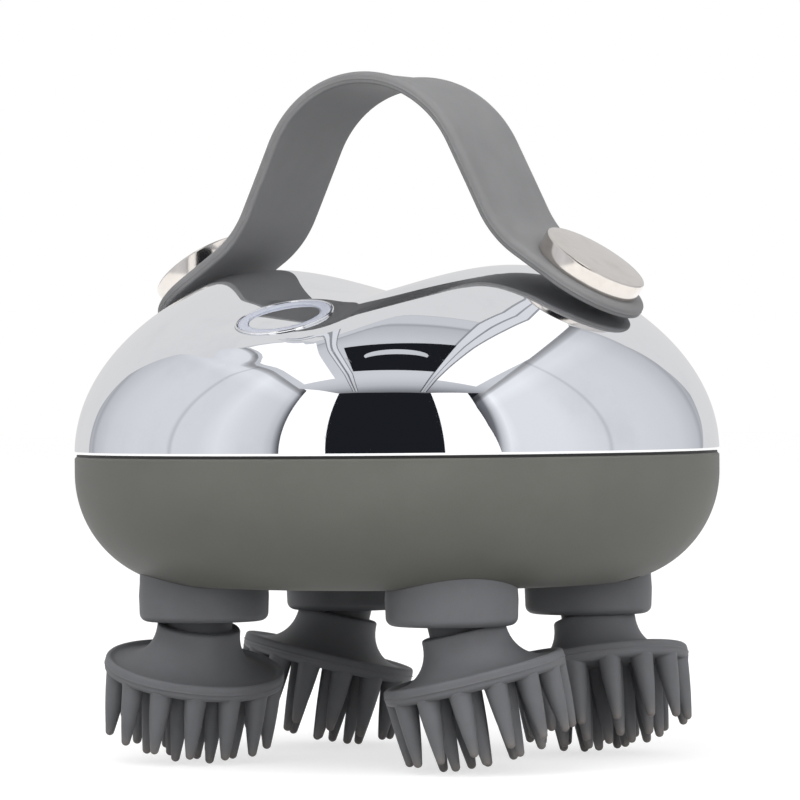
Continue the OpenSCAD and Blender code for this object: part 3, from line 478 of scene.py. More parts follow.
def makeDomeTree():
    tree, given, end = newGeometryTree("saddleDome", {
        "Radius": "Float", "Height": "Float", "Saddle Height": "Float", "Saddle Rise": "Float",
        "Saddle Fall": "Float", "Edge Blend": "Float", "Seam Height": "Float", "Button Distance": "Float",
        "Button Tilt": "Float", "Seat Radius": "Float", "Seat Run": "Float", "Material": "Material"})
    place = tree.nodes.new("GeometryNodeInputPosition")
    split = tree.nodes.new("ShaderNodeSeparateXYZ")
    link(tree, place.outputs["Position"], split.inputs["Vector"])
    x, y = split.outputs["X"], split.outputs["Y"]
    free = domeRule(tree, x, y, given)
    front = calc(tree, "MULTIPLY", given["Button Distance"], -1.0)
    seatMiddle = domeRule(tree, 0.0, front, given)
    fromSeat = calc(tree, "ADD", y, given["Button Distance"])
    seat = calc(tree, "ADD", seatMiddle,
                calc(tree, "MULTIPLY", fromSeat, calc(tree, "TANGENT", given["Button Tilt"])))
    along = calc(tree, "DIVIDE", fromSeat, calc(tree, "COSINE", given["Button Tilt"]))
    away = calc(tree, "SQRT", calc(tree, "ADD", calc(tree, "MULTIPLY", x, x),
                                   calc(tree, "MULTIPLY", along, along)))
    outer = calc(tree, "ADD", given["Seat Radius"], given["Seat Run"])
    share = calc(tree, "DIVIDE", calc(tree, "SUBTRACT", outer, away), given["Seat Run"])
    share = calc(tree, "MINIMUM", calc(tree, "MAXIMUM", share, 0.0), 1.0)
    eased = calc(tree, "MULTIPLY", calc(tree, "MULTIPLY", share, share),
                 calc(tree, "SUBTRACT", 3.0, calc(tree, "MULTIPLY", share, 2.0)))
    height = calc(tree, "ADD", free, calc(tree, "MULTIPLY", eased, calc(tree, "SUBTRACT", seat, free)))
    join = tree.nodes.new("ShaderNodeCombineXYZ")
    link(tree, x, join.inputs["X"])
    link(tree, y, join.inputs["Y"])
    link(tree, calc(tree, "ADD", height, given["Seam Height"]), join.inputs["Z"])
    lift = tree.nodes.new("GeometryNodeSetPosition")
    link(tree, given["Geometry"], lift.inputs["Geometry"])
    link(tree, join.outputs["Vector"], lift.inputs["Position"])
    closeTree(tree, lift.outputs["Geometry"], given["Material"], end)
    return tree


def flatDisc(radius, sides, rings):
    # a disc of rings that crowd towards the rim, where the dome is steep
    bm = bmesh.new()
    middle = bm.verts.new((0, 0, 0))
    turns = [2 * math.pi * side / sides for side in range(sides)]
    circles = []
    for ring in range(1, rings + 1):
        out = radius * math.sin(math.pi / 2 * ring / rings)
        circles.append([bm.verts.new((out * math.cos(turn), out * math.sin(turn), 0)) for turn in turns])
    for side in range(sides):
        after = (side + 1) % sides
        bm.faces.new((middle, circles[0][side], circles[0][after]))
        for inner, outer in zip(circles, circles[1:]):
            bm.faces.new((inner[side], outer[side], outer[after], inner[after]))
    return bm


def buttonFrame():
    height = freeHeight(0.0, -button["fromMiddle"]) + button["bezelHeight"]
    spot = Matrix.Translation((0, -button["fromMiddle"], seamZ + height))
    return spot @ Matrix.Rotation(math.radians(button["tilt"]), 4, "X")


def makeDome():
    blank = newObject("dome_shell", flatDisc(dome["radius"], dome["sides"], dome["rings"]))
    growWith(blank, makeDomeTree(), {
        "Radius": dome["radius"], "Height": dome["height"], "Saddle Height": dome["saddleHeight"],
        "Saddle Rise": dome["saddleRise"], "Saddle Fall": dome["saddleFall"],
        "Edge Blend": dome["edgeBlend"], "Seam Height": seamZ,
        "Button Distance": button["fromMiddle"], "Button Tilt": math.radians(button["tilt"]),
        "Seat Radius": button["bezelRadius"] + button["seatMargin"], "Seat Run": button["seatRun"],
        "Material": finishes["dome_chrome"]})
    wall = blank.modifiers.new("wall", "SOLIDIFY")
    wall.thickness = dome["wall"]
    wall.offset = -1
    soft = blank.modifiers.new("rim", "BEVEL")
    soft.width = dome["rimRound"]
    soft.segments = 3
    soft.limit_method = "ANGLE"
    soft.angle_limit = math.radians(dome["rimAngle"])
    hole = rod(button["bezelRadius"] + button["play"], dome["drillReach"], -dome["drillReach"], 96)
    hole.transform(buttonFrame())
    drill = newObject("drill", hole)
    cut(blank, drill)
    bake(blank)
    forget(drill)
    return blank


base = {
    "radius": 0.055,
    "corner": 0.019,
    "wall": 0.0022,
    "collarHole": 0.009,
    "collarHoleDepth": 0.012,
    "drillSpare": 0.001,             # the drills start this far below the underside
    "screwHole": 0.0026,
    "screwDepth": 0.0072,
    "outerScrews": (0.040, 13),      # distance from the middle, angle from the X axis
    "innerScrews": (0.033, -16),
    "chargeDrop": 0.008,
    "chargeHole": 0.00605,
    "chargeDrill": (0.004, -0.008),  # outwards and inwards from the shell's face
    "edgeRound": 0.0003,
    "sealInset": 0.00035,
}
headPitch = turnPoints["head_front_right"].x


def baseOutline(inset=0.0):
    # the rounded side, from the flat underside up to the rim
    corner = base["corner"]
    return arc(base["radius"] - corner, underZ + corner, corner - inset, -90, 0, 40)


def chargeFrame():
    slope = math.asin((base["chargeDrop"] + base["corner"] - (seamZ - underZ)) / base["corner"])
    out = base["radius"] - base["corner"] + base["corner"] * math.cos(slope)
    spot = Matrix.Translation((0, out, seamZ - base["chargeDrop"]))
    return spot @ Matrix.Rotation(-math.pi / 2 - slope, 4, "X")


def makeBase():
    soft = base["edgeRound"]
    rim = [(base["radius"], lowerRimZ - soft), (base["radius"] - soft, lowerRimZ),
           (base["radius"] - base["wall"], lowerRimZ)]
    inside = list(reversed(baseOutline(base["wall"])))
    profile = [(0, underZ)] + baseOutline() + rim + inside + [(0, underZ + base["wall"])]
    shell = newObject("base_shell", lathe(profile, 240), finishes["base_soft_touch"])
    drills = bmesh.new()
    start = underZ - base["drillSpare"]
    for alongX in (-1, 1):
        for alongY in (-1, 1):
            addMesh(drills, rod(base["collarHole"], underZ + base["collarHoleDepth"], start, 96),
                    Matrix.Translation((alongX * headPitch, alongY * headPitch, 0)))
    for distance, angle in (base["outerScrews"], base["innerScrews"]):
        for turn in (angle, angle + 180):
            spot = Matrix.Rotation(math.radians(turn), 4, "Z") @ Matrix.Translation((distance, 0, 0))
            addMesh(drills, rod(base["screwHole"], underZ + base["screwDepth"], start, 48), spot)
    addMesh(drills, rod(base["chargeHole"], *base["chargeDrill"]), chargeFrame())
    drill = newObject("drills", drills)
    cut(shell, drill)
    bake(shell)
    forget(drill)
    return settle(shell, "root", ["lower_shell"], sharp=40)


def makeSeal():
    outer = base["radius"] - base["sealInset"]
    inner = base["radius"] - base["wall"]
    ring = lathe([(inner, seamZ), (outer, seamZ), (outer, lowerRimZ), (inner, lowerRimZ)], 240, loop=True)
    piece = newObject("seam_seal", ring, finishes["seal_rubber"])
    return settle(piece, "root", ["seam_gasket"])


makeBase()
makeSeal()
print("lower shell and seal made")


strap = {
    "width": 0.0225,
    "thick": 0.0021,
    "rise": 0.0635,
    "crownRadius": 0.0196,
    "crownLean": 0.0008,       # the soft crown hangs this far to the left
    "legSlope": 64,
    "footRadius": 0.018,
    "padSlope": 34,
    "padX": 0.0352,
    "seatHeight": 0.0011,      # the strap's underside over the dome
    "seatRadius": 0.005,
    "seatDepth": 0.0063,
    "seatEdge": 0.0002,
    "dish": 0.00028,           # how far the outer face sinks between its rims
    "dishRun": 0.006,          # from a disc's edge to the full dish
    "dishIn": 0.0012,          # from the outline to where the dish starts
    "dishWide": 0.0042,        # from there to where it is deepest
    "outerRows": (1, 0.8, 0.64, 0.5, 0.4, 0.32, 0.26, 0.21, 0.17, 0.14),
    "innerRows": (0.14, 0.3, 0.5, 0.75, 1),
    "rimIn": 0.0013,           # the outer edge's round: where it starts, its width and its drop
    "rimWidth": 0.00125,
    "rimDrop": 0.0009,
    "heelIn": 0.0005,          # the inner edge's round
    "heelWidth": 0.00043,
    "heelRise": 0.0004,
    "parting": 0.0008,         # height of the mould line over the inner face
    # the mould line's flash, in from the outline and up from the line
    "flash": [(0.00005, 0.00012), (0.0, 0.00006), (0.0, -0.00004), (0.00007, -0.0001)],
    "steps": (230, 36),        # along a straight side, and round an end
}
disc = {
    "radius": 0.0093,
    "thick": 0.0031,
    "edge": 0.00035,
    "lowerEdge": 0.0002,
    "studRadius": 0.002,
    "studLength": 0.009,
    "studChamfer": 0.0003,
}


def strapPath():
    # the middle layer from the left stud to the right stud, as (x, z) points
    slope, leg = math.radians(strap["padSlope"]), math.radians(strap["legSlope"])
    padHeight = seamZ + freeHeight(strap["padX"], 0.0)
    axis = Vector((math.sin(slope), math.cos(slope)))
    end = Vector((strap["padX"], padHeight)) + (strap["seatHeight"] + strap["thick"] / 2) * axis
    # a crown arc, a straight leg that leaves it, and a foot arc the other way into the pad
    crown = strap["crownRadius"]
    crownTop = seamZ + strap["rise"]
    crownEnd = Vector((crown * math.sin(leg), crownTop - crown * (1 - math.cos(leg))))
    legWay = Vector((math.cos(leg), -math.sin(leg)))
    padWay = Vector((math.cos(slope), -math.sin(slope)))
    gap = end - crownEnd
    run = (gap.x * padWay.y - gap.y * padWay.x) / (legWay.x * padWay.y - legWay.y * padWay.x)
    corner = crownEnd + run * legWay
    back = strap["footRadius"] * math.tan((leg - slope) / 2)
    footStart = corner - back * legWay
    centre = footStart + strap["footRadius"] * Vector((math.sin(leg), math.cos(leg)))
    half = []
    for step in range(33):
        angle = leg * step / 32
        half.append(Vector((crown * math.sin(angle), crownTop - crown + crown * math.cos(angle))))
    half += [crownEnd.lerp(footStart, step / 12) for step in range(1, 12)]
    for step in range(13):
        angle = leg + (slope - leg) * step / 12
        half.append(centre - strap["footRadius"] * Vector((math.sin(angle), math.cos(angle))))
    half.append(end)
    path = [Vector((-point.x, point.y)) for point in reversed(half[1:])] + half
    for point in path:
        share = max(0.0, (point.y - end.y) / (crownTop - end.y))
        point.x -= strap["crownLean"] * share * share
    return path


def pathLength(points):
    return sum((after - before).length for before, after in zip(points, points[1:]))


def strapSection():
    # (distance in from the outline, height) from the middle of the outer face to that of the inner
    half, thick = strap["width"] / 2, strap["thick"] / 2
    outerFace = [(half * share, thick) for share in strap["outerRows"]]
    middle = thick - strap["rimDrop"]
    rim = [(strap["rimIn"] - strap["rimWidth"] * math.sin(math.radians(angle)),
            middle + strap["rimDrop"] * math.cos(math.radians(angle))) for angle in range(0, 91, 10)]
    flash = [(inset, strap["parting"] - thick + up) for inset, up in strap["flash"]]
    middle = strap["heelRise"] - thick
    heel = [(strap["heelIn"] - strap["heelWidth"] * math.cos(math.radians(angle)),
             middle - strap["heelRise"] * math.sin(math.radians(angle))) for angle in range(0, 91, 15)]
    innerFace = [(half * share, -thick) for share in strap["innerRows"]]
    return outerFace + rim + flash + heel + innerFace


def eased(share):
    # 0 to 1 with a soft start and a soft end
    share = min(1.0, max(0.0, share))
    return share * share * (3 - 2 * share)


def strapOutline(radius, length):
    # a long loop round both studs, at one distance from the middle line
    straight, cap = strap["steps"]
    turns = [math.pi * step / cap for step in range(cap)]
    there = [(length * step / straight, radius) for step in range(straight)]
    farEnd = [(length + radius * math.sin(turn), radius * math.cos(turn)) for turn in turns]
    back = [(length * (1 - step / straight), -radius) for step in range(straight)]
    nearEnd = [(-radius * math.sin(turn), -radius * math.cos(turn)) for turn in turns]
    return there + farEnd + back + nearEnd


def flatStrap(length):
    # the strap laid flat along X, with round ends about the two studs
    bm = bmesh.new()
    loops = []
    for inset, height in strapSection():
        row = []
        for x, y in strapOutline(strap["width"] / 2 - inset, length):
            sink = 0.0
            if height > 0:
                out = min(math.hypot(x, y), math.hypot(x - length, y)) - disc["radius"]
                deep = eased((inset - strap["dishIn"]) / strap["dishWide"])
                sink = strap["dish"] * eased(out / strap["dishRun"]) * deep
            row.append(bm.verts.new((x, y, height - sink)))
        loops.append(row)
    count = len(loops[0])
    for upper, lower in zip(loops, loops[1:]):
        for step in range(count):
            after = (step + 1) % count
            bm.faces.new((upper[step], lower[step], lower[after], upper[after]))
    bmesh.ops.remove_doubles(bm, verts=bm.verts, dist=1e-6)
    bmesh.ops.dissolve_degenerate(bm, edges=bm.edges, dist=1e-7)
    turnOutwards(bm)
    return bm


def makeBendTree():
    # lays geometry that is flat along X onto a path in the XZ plane
    tree, given, end = newGeometryTree("followPath", {"Path": "Object", "Material": "Material"})
    source = tree.nodes.new("GeometryNodeObjectInfo")
    link(tree, given["Path"], source.inputs["Object"])
    place = tree.nodes.new("GeometryNodeInputPosition")
    split = tree.nodes.new("ShaderNodeSeparateXYZ")
    link(tree, place.outputs["Position"], split.inputs["Vector"])
    sample = tree.nodes.new("GeometryNodeSampleCurve")
    sample.mode = "LENGTH"
    sample.use_all_curves = True
    link(tree, source.outputs["Geometry"], sample.inputs["Curves"])
    link(tree, split.outputs["X"], sample.inputs["Length"])
    way = tree.nodes.new("ShaderNodeSeparateXYZ")
    link(tree, sample.outputs["Tangent"], way.inputs["Vector"])
    spot = tree.nodes.new("ShaderNodeSeparateXYZ")
    link(tree, sample.outputs["Position"], spot.inputs["Vector"])
    height = split.outputs["Z"]
    join = tree.nodes.new("ShaderNodeCombineXYZ")
    link(tree, calc(tree, "SUBTRACT", spot.outputs["X"],
                    calc(tree, "MULTIPLY", way.outputs["Z"], height)), join.inputs["X"])
    link(tree, split.outputs["Y"], join.inputs["Y"])
    link(tree, calc(tree, "ADD", spot.outputs["Z"],
                    calc(tree, "MULTIPLY", way.outputs["X"], height)), join.inputs["Z"])
    lay = tree.nodes.new("GeometryNodeSetPosition")
    link(tree, given["Geometry"], lay.inputs["Geometry"])
    link(tree, join.outputs["Vector"], lay.inputs["Position"])
    closeTree(tree, lay.outputs["Geometry"], given["Material"], end)
    return tree


def padFrame(side):
    slope = math.radians(strap["padSlope"])
    height = seamZ + freeHeight(strap["padX"], 0.0)
    lift = strap["seatHeight"] * Vector((math.sin(slope), 0, math.cos(slope)))
    spot = Vector((strap["padX"], 0, height)) + lift
    return Matrix.Translation((side * spot.x, 0, spot.z)) @ Matrix.Rotation(side * slope, 4, "Y")


def addSeats(shell):
    # the chromed seats that carry the strap's ends, with a small round where they meet the strap
    whole = bmesh.new()
    whole.from_mesh(shell.data)
    radius, depth, edge = strap["seatRadius"], strap["seatDepth"], strap["seatEdge"]
    for side in (-1, 1):
        seat = [(0, 0)] + arc(radius - edge, -edge, edge, 90, 0, 3)
        seat += [(radius, -depth), (0, -depth)]
        addMesh(whole, lathe(seat, 96), padFrame(side))
    whole.to_mesh(shell.data)
    whole.free()
    return settle(shell, "root", ["top_shell"], sharp=50)


def makeStrap():
    path = strapPath()
    length = pathLength(path)
    spare = strap["width"]                       # the path runs on straight past the studs
    first = path[0] + (path[0] - path[1]).normalized() * spare
    last = path[-1] + (path[-1] - path[-2]).normalized() * spare
    route = [first] + path + [last]
    curve = bpy.data.curves.new("strapRoute", "CURVE")
    curve.dimensions = "3D"
    spline = curve.splines.new("POLY")
    spline.points.add(len(route) - 1)
    for point, (x, z) in zip(spline.points, route):
        point.co = (x, 0, z, 1)
    guide = bpy.data.objects.new("strapRoute", curve)
    bpy.context.scene.collection.objects.link(guide)
    flat = flatStrap(length)
    flat.transform(Matrix.Translation((spare, 0, 0)))
    piece = newObject("finger_strap", flat)
    growWith(piece, makeBendTree(), {"Path": guide, "Material": finishes["strap_silicone"]})
    bake(piece)
    forget(guide)
    return settle(piece, "root", ["strap"], sharp=60)


def makeDisc(side, label):
    radius, edge, lower = disc["radius"], disc["edge"], disc["lowerEdge"]
    bottom, top = strap["thick"], strap["thick"] + disc["thick"]
    stud, tip, chamfer = disc["studRadius"], -disc["studLength"], disc["studChamfer"]
    profile = [(0, top), (radius / 2, top)]
    profile += arc(radius - edge, top - edge, edge, 90, 0, 5)
    profile += arc(radius - lower, bottom + lower, lower, 0, -90, 3)
    profile += [(stud, bottom), (stud, tip + chamfer), (stud - chamfer, tip), (0, tip)]
    body = lathe(profile, 128)
    body.transform(padFrame(side))
    piece = newObject("disc_" + label, body, finishes["disc_nickel"])
    return settle(piece, "root", ["strap_disc_" + label], sharp=40)


addSeats(makeDome())
makeStrap()
makeDisc(-1, "left")
makeDisc(1, "right")
print("dome, strap and discs made")


fittings = {                   # how the button's pieces stand in the bezel, heights from its rim
    "edge": 0.0002,
    "capTop": -0.0003,
    "capSkirt": -0.0025,
    "stemRadius": 0.0016,
    "stemEnd": -0.00495,
    "ringTop": -0.0001,
    "sleeveEnd": -0.0046,
    "flangeWidth": 0.0018,
    "flangeEnd": -0.0055,
    "legOut": 0.0019,          # the legs under the flange, outwards from the ring's bore
    "legRadius": 0.0018,
    "legTop": -0.0047,
    "legEnd": -0.0096,
}
ringOuter = button["bezelRadius"] - button["bezelWidth"] - button["play"]
ringInner = ringOuter - button["ringWidth"]


def makeCap():
    radius, edge = ringInner - button["play"], fittings["edge"]
    top, skirt = fittings["capTop"], fittings["capSkirt"]
    stem, end = fittings["stemRadius"], fittings["stemEnd"]
    profile = [(0, top)] + arc(radius - edge, top - edge, edge, 90, 0, 4)
    profile += [(radius, skirt), (stem, skirt), (stem, end), (0, end)]
    body = lathe(profile, 128)
    body.transform(buttonFrame())
    piece = newObject("button_cap", body, finishes["button_mirror"])
    return settle(piece, "button", ["power_button"], sharp=40)


def makeLightRing():
    edge, top, end = fittings["edge"], fittings["ringTop"], fittings["sleeveEnd"]
    profile = arc(ringInner + edge, top - edge, edge, 180, 90, 3)
    profile += arc(ringOuter - edge, top - edge, edge, 90, 0, 3)
    profile += [(ringOuter, end), (ringInner, end)]
    body = lathe(profile, 128, loop=True)
    body.transform(buttonFrame())
    piece = newObject("light_ring", body, finishes["ring_translucent"])
    return settle(piece, "root", ["button_light_ring"], sharp=40)


def makeBezel():
    # a thin bright rim whose sleeve ends in a flange with two legs
    outer, inner = button["bezelRadius"], button["bezelRadius"] - button["bezelWidth"]
    edge, sleeve = button["bezelWidth"] / 2, fittings["sleeveEnd"]
    flange, end = outer + fittings["flangeWidth"], fittings["flangeEnd"]
    profile = arc(inner + edge, -edge, edge, 180, 0, 8)
    profile += [(outer, sleeve), (flange, sleeve), (flange, end), (ringInner, end), (ringInner, sleeve),
                (inner, sleeve)]
    body = lathe(profile, 128, loop=True)
    for side in (-1, 1):
        spot = Matrix.Translation((side * (ringInner + fittings["legOut"]), 0, 0))
        addMesh(body, rod(fittings["legRadius"], fittings["legTop"], fittings["legEnd"], 32), spot)
    body.transform(buttonFrame())
    piece = newObject("button_bezel", body, finishes["frame_bright"])
    return settle(piece, "root", ["button_frame"], sharp=40)


makeCap()
makeLightRing()
makeBezel()
print("button made")


head = {
    "tilt": 13.4,
    "rimRadius": 0.01535,
    "bellTop": 0.0078,
    "bellRadius": 0.00705,
    "bellPower": 1.1,
    "bellSteps": 14,
    # the bell's upper lip, in from its radius and down from its top
    "bellLip": [(0.00045, 0.0), (0.00015, 0.00012), (0.0, 0.0004)],
    "plateTop": 0.0144,
    "plateThick": 0.0028,
    "coreRadius": 0.005,
    "coreTop": 0.0014,
    "coreBead": 0.0056,        # the neck's wider top, with its edge and its end
    "coreBeadEdge": 0.0004,
    "coreEnd": 0.0013,         # the neck ends this far over the plate's underside
    "corePlay": 0.00005,
    "clawRings": [             # copies, radius of the ring, length, outward lean
        (14, 0.0132, 0.0104, 3.0),
        (9, 0.0085, 0.0125, 0.0),
        (5, 0.0039, 0.0131, 0.0),
    ],
    "valleyIn": 0.0018,        # the bell runs into a shallow valley inside the raised rim
    "valleyDepth": 0.0005,
    # steps in from the rim, and down from the plate's top, its middle and up from its underside
    "upperLip": [(0.00145, 0.00042), (0.00118, 0.0002), (0.00095, 0.00005), (0.0007, 0.0),
                 (0.00045, 0.00007), (0.00024, 0.00027), (0.00013, 0.0006), (0.0001, 0.0011)],
    "flashLine": [(0.0001, -0.00014), (0.0, -0.00006), (0.0, 0.00004), (0.00012, 0.00012)],
    "lowerLip": [(0.0001, 0.0009), (0.00016, 0.0006), (0.00038, 0.00028), (0.00075, 0.00007),
                 (0.0012, 0.0)],
    "clawRoot": 0.0019,
    "clawTip": 0.00075,
    "clawFoot": [(0.00012, 0.0004), (0.0001, 0.0), (0.00005, -0.0001), (0.00001, -0.0003)],
    "clawBelly": 0.00012,
    "paleFrom": 0.72,          # share of a claw's length at which the pale tip starts
    "paleMost": 0.8,
    "leans": {"front_left": 150, "front_right": 30, "back_left": 210, "back_right": 330},
}
collar = {
    "radius": 0.0109,
    "height": 0.0059,
    "bore": 0.0077,
    "edge": 0.0014,
    "mouth": 0.0019,           # the open underside is this much wider than the bore
    "mouthDepth": 0.0023,
    # the side above the rounded edge, out from the radius and up from the bulge
    "side": [(0.0001, 0.0), (-0.00005, 0.0022)],
    "topInset": 0.0003,
    "gap": 0.00005,            # between collar and shell
    "spigotWall": 0.00125,
    "spigot": (0.0032, -0.001),
}


def headFrame(station):
    spot = Matrix.Translation(turnPoints["head_" + station])
    lean = Matrix.Rotation(math.radians(head["leans"][station]), 4, "Z")
    return spot @ lean @ Matrix.Rotation(-math.radians(head["tilt"]), 4, "Y")


def makeClawTree():
    # copies one claw round a ring, leaning outwards
    tree, given, end = newGeometryTree("clawRing", {
        "Copies": "Int", "Ring Radius": "Float", "Lean": "Float", "Start Angle": "Float",
        "Root Height": "Float", "Material": "Material"})
    ring = tree.nodes.new("GeometryNodeMeshCircle")
    link(tree, given["Copies"], ring.inputs["Vertices"])
    link(tree, given["Ring Radius"], ring.inputs["Radius"])
    turned = tree.nodes.new("GeometryNodeTransform")
    angles = tree.nodes.new("ShaderNodeCombineXYZ")
    link(tree, given["Start Angle"], angles.inputs["Z"])
    drop = tree.nodes.new("ShaderNodeCombineXYZ")
    link(tree, given["Root Height"], drop.inputs["Z"])
    link(tree, ring.outputs["Mesh"], turned.inputs["Geometry"])
    link(tree, drop.outputs["Vector"], turned.inputs["Translation"])
    link(tree, angles.outputs["Vector"], turned.inputs["Rotation"])
    index = tree.nodes.new("GeometryNodeInputIndex").outputs["Index"]
    step = calc(tree, "DIVIDE", 2 * math.pi, given["Copies"])
    facing = tree.nodes.new("ShaderNodeCombineXYZ")
    link(tree, calc(tree, "MULTIPLY", given["Lean"], -1.0), facing.inputs["Y"])
    link(tree, calc(tree, "ADD", calc(tree, "MULTIPLY", index, step), given["Start Angle"]),
         facing.inputs["Z"])
    copies = tree.nodes.new("GeometryNodeInstanceOnPoints")
    link(tree, turned.outputs["Geometry"], copies.inputs["Points"])
    link(tree, given["Geometry"], copies.inputs["Instance"])
    link(tree, facing.outputs["Vector"], copies.inputs["Rotation"])
    closeTree(tree, copies.outputs["Instances"], given["Material"], end)
    return tree


clawTree = makeClawTree()


def oneClaw(length):
    # a rounded, slightly bellied cone that stands on a soft fillet
    root, tip = head["clawRoot"], head["clawTip"]
    profile = [(root + out, height) for out, height in head["clawFoot"]]
    start, straight = profile[-1][1], length - tip
    for step in range(1, 9):
        share = step / 8
        belly = head["clawBelly"] * math.sin(math.pi * share)
        profile.append((root + (tip - root) * share + belly, start - (straight + start) * share))
    profile += arc(0, -straight, tip, 0, -90, 5)[1:]
    profile[-1] = (0, -length)
    bm = lathe([(0, profile[0][1])] + profile, 20)
    tipShare = bm.verts.layers.float.new("tipShare")
    for vert in bm.verts:
        down = (-vert.co.z / length - head["paleFrom"]) / (1 - head["paleFrom"])
        share = min(1.0, max(0.0, down))
        vert[tipShare] = share * share * head["paleMost"]
    return bm


def bellProfile():
    rim, bell, top, plate = head["rimRadius"], head["bellRadius"], head["bellTop"], head["plateTop"]
    valley = plate + head["valleyDepth"]
    low = plate + head["plateThick"]
    mid = plate + 0.5 * head["plateThick"]
    points = [(head["coreRadius"] + head["corePlay"], top)]
    points += [(bell - inwards, top + down) for inwards, down in head["bellLip"]]
    neck = points[-1][1]
    flare = rim - head["valleyIn"] - bell
    steps = head["bellSteps"]
    for step in range(1, steps + 1):             # the bell flares out like a quarter of an oval
        angle = math.pi / 2 * step / steps
        out = flare * (1 - math.cos(angle)) ** head["bellPower"]
        points.append((bell + out, neck + (valley - neck) * math.sin(angle)))
    points += [(rim - inwards, plate + down) for inwards, down in head["upperLip"]]
    points += [(rim - inwards, mid + down) for inwards, down in head["flashLine"]]
    points += [(rim - inwards, low - rise) for inwards, rise in head["lowerLip"]]
    points.append((0, low))
    return [(radius, -down) for radius, down in points]


def makeHead(station):
    low = head["plateTop"] + head["plateThick"]
    body = lathe(bellProfile(), 144)             # the disc and bell, as one skin
    parts = []
    for copies, radius, length, lean in head["clawRings"]:
        claws = newObject("claws", oneClaw(length))
        growWith(claws, clawTree, {
            "Copies": copies, "Ring Radius": radius, "Lean": math.radians(lean), "Start Angle": math.pi,
            "Root Height": -low, "Material": finishes["head_silicone"]})
        parts.append(bake(claws))
    for part in parts:
        body.from_mesh(part.data)
    forget(*parts)
    body.transform(headFrame(station))
    piece = newObject("claw_head_" + station, body, finishes["head_silicone"])
    return settle(piece, "head_" + station, ["massage_head_" + station], sharp=60)


def makeCore(station):
    top, bead, edge = -head["coreTop"], head["coreBead"], head["coreBeadEdge"]
    shoulder = head["corePlay"] - head["bellTop"]
    end = head["coreEnd"] - head["plateTop"] - head["plateThick"]
    profile = [(0, top), (bead - edge, top), (bead, top - edge), (bead, shoulder),
               (head["coreRadius"], shoulder), (head["coreRadius"], end), (0, end)]
    body = lathe(profile, 96)
    body.transform(headFrame(station))
    piece = newObject("neck_" + station, body, finishes["core_plastic"])
    return settle(piece, "head_" + station, ["head_core_" + station], sharp=40)


def makeCollar(station):
    edge, radius, bore = collar["edge"], collar["radius"], collar["bore"]
    bottom, top = underZ - collar["height"], (underZ + seamZ) / 2
    bulge = bottom + collar["height"] / 2 + edge
    profile = [(bore + collar["mouth"], bottom)]
    profile += arc(radius - edge, bottom + edge, edge, -90, 0, 8)
    profile += [(radius + out, bulge + up) for out, up in collar["side"]]
    profile += [(radius - collar["topInset"], top), (bore, top), (bore, bottom + collar["mouthDepth"])]
    body = lathe(profile, 128, loop=True)
    spot = turnPoints["head_" + station]
    body.transform(Matrix.Translation((spot.x, spot.y, 0)))
    piece = newObject("soft_collar_" + station, body, finishes["head_silicone"])
    gap = collar["gap"]
    shape = [(0, underZ - gap)] + baseOutline(-gap) + [(base["radius"] + gap, seamZ), (0, seamZ)]
    block = newObject("block", lathe(shape, 240))
    cut(piece, block)
    bake(piece)
    forget(block)
    outer = bore + collar["spigotWall"]
    high, low = (underZ + height for height in collar["spigot"])
    tube = lathe([(bore, high), (outer, high), (outer, low), (bore, low)], 96, loop=True)
    tube.transform(Matrix.Translation((spot.x, spot.y, 0)))
    whole = bmesh.new()
    whole.from_mesh(piece.data)
    addMesh(whole, tube)
    whole.to_mesh(piece.data)
    whole.free()
    return settle(piece, "root", ["collar_" + station], sharp=40)


for station in stations:
    makeHead(station)
    makeCore(station)
    makeCollar(station)
print("four heads with their claws, necks and collars made")


screw = {
    "headRadius": 0.0024,
    "headHeight": 0.0014,
    "headEdge": 0.0003,
    "shankRadius": 0.0014,
    "point": 0.0004,
    "recessDepth": 0.0009,
    "recessWidth": 0.0007,
    "recessSpan": 0.0026,
}


def screwSpot(place):
    distance, angle = place
    return distance * math.cos(math.radians(angle)), distance * math.sin(math.radians(angle)), 0.0


def makeScrewTree():
    # two pairs of screws, each pair on a line through the middle
    tree, given, end = newGeometryTree("screwPairs", {
        "Outer Spot": "Vector", "Inner Spot": "Vector", "Height": "Float", "Material": "Material"})
    corners = tree.nodes.new("GeometryNodeJoinGeometry")
    for spot in (given["Outer Spot"], given["Inner Spot"]):
        pair = tree.nodes.new("GeometryNodeMeshLine")
        pair.mode = "END_POINTS"
        pair.inputs["Count"].default_value = 2
        far = tree.nodes.new("ShaderNodeVectorMath")
        far.operation = "SCALE"
        far.inputs["Scale"].default_value = -1.0
        link(tree, spot, far.inputs[0])
        link(tree, spot, pair.inputs["Start Location"])
        link(tree, far.outputs["Vector"], pair.inputs["Offset"])
        link(tree, pair.outputs["Mesh"], corners.inputs["Geometry"])
    lift = tree.nodes.new("ShaderNodeCombineXYZ")
    link(tree, given["Height"], lift.inputs["Z"])
    moved = tree.nodes.new("GeometryNodeTransform")
    link(tree, corners.outputs["Geometry"], moved.inputs["Geometry"])
    link(tree, lift.outputs["Vector"], moved.inputs["Translation"])
    copies = tree.nodes.new("GeometryNodeInstanceOnPoints")
    link(tree, moved.outputs["Geometry"], copies.inputs["Points"])
    link(tree, given["Geometry"], copies.inputs["Instance"])
    closeTree(tree, copies.outputs["Instances"], given["Material"], end)
    return tree


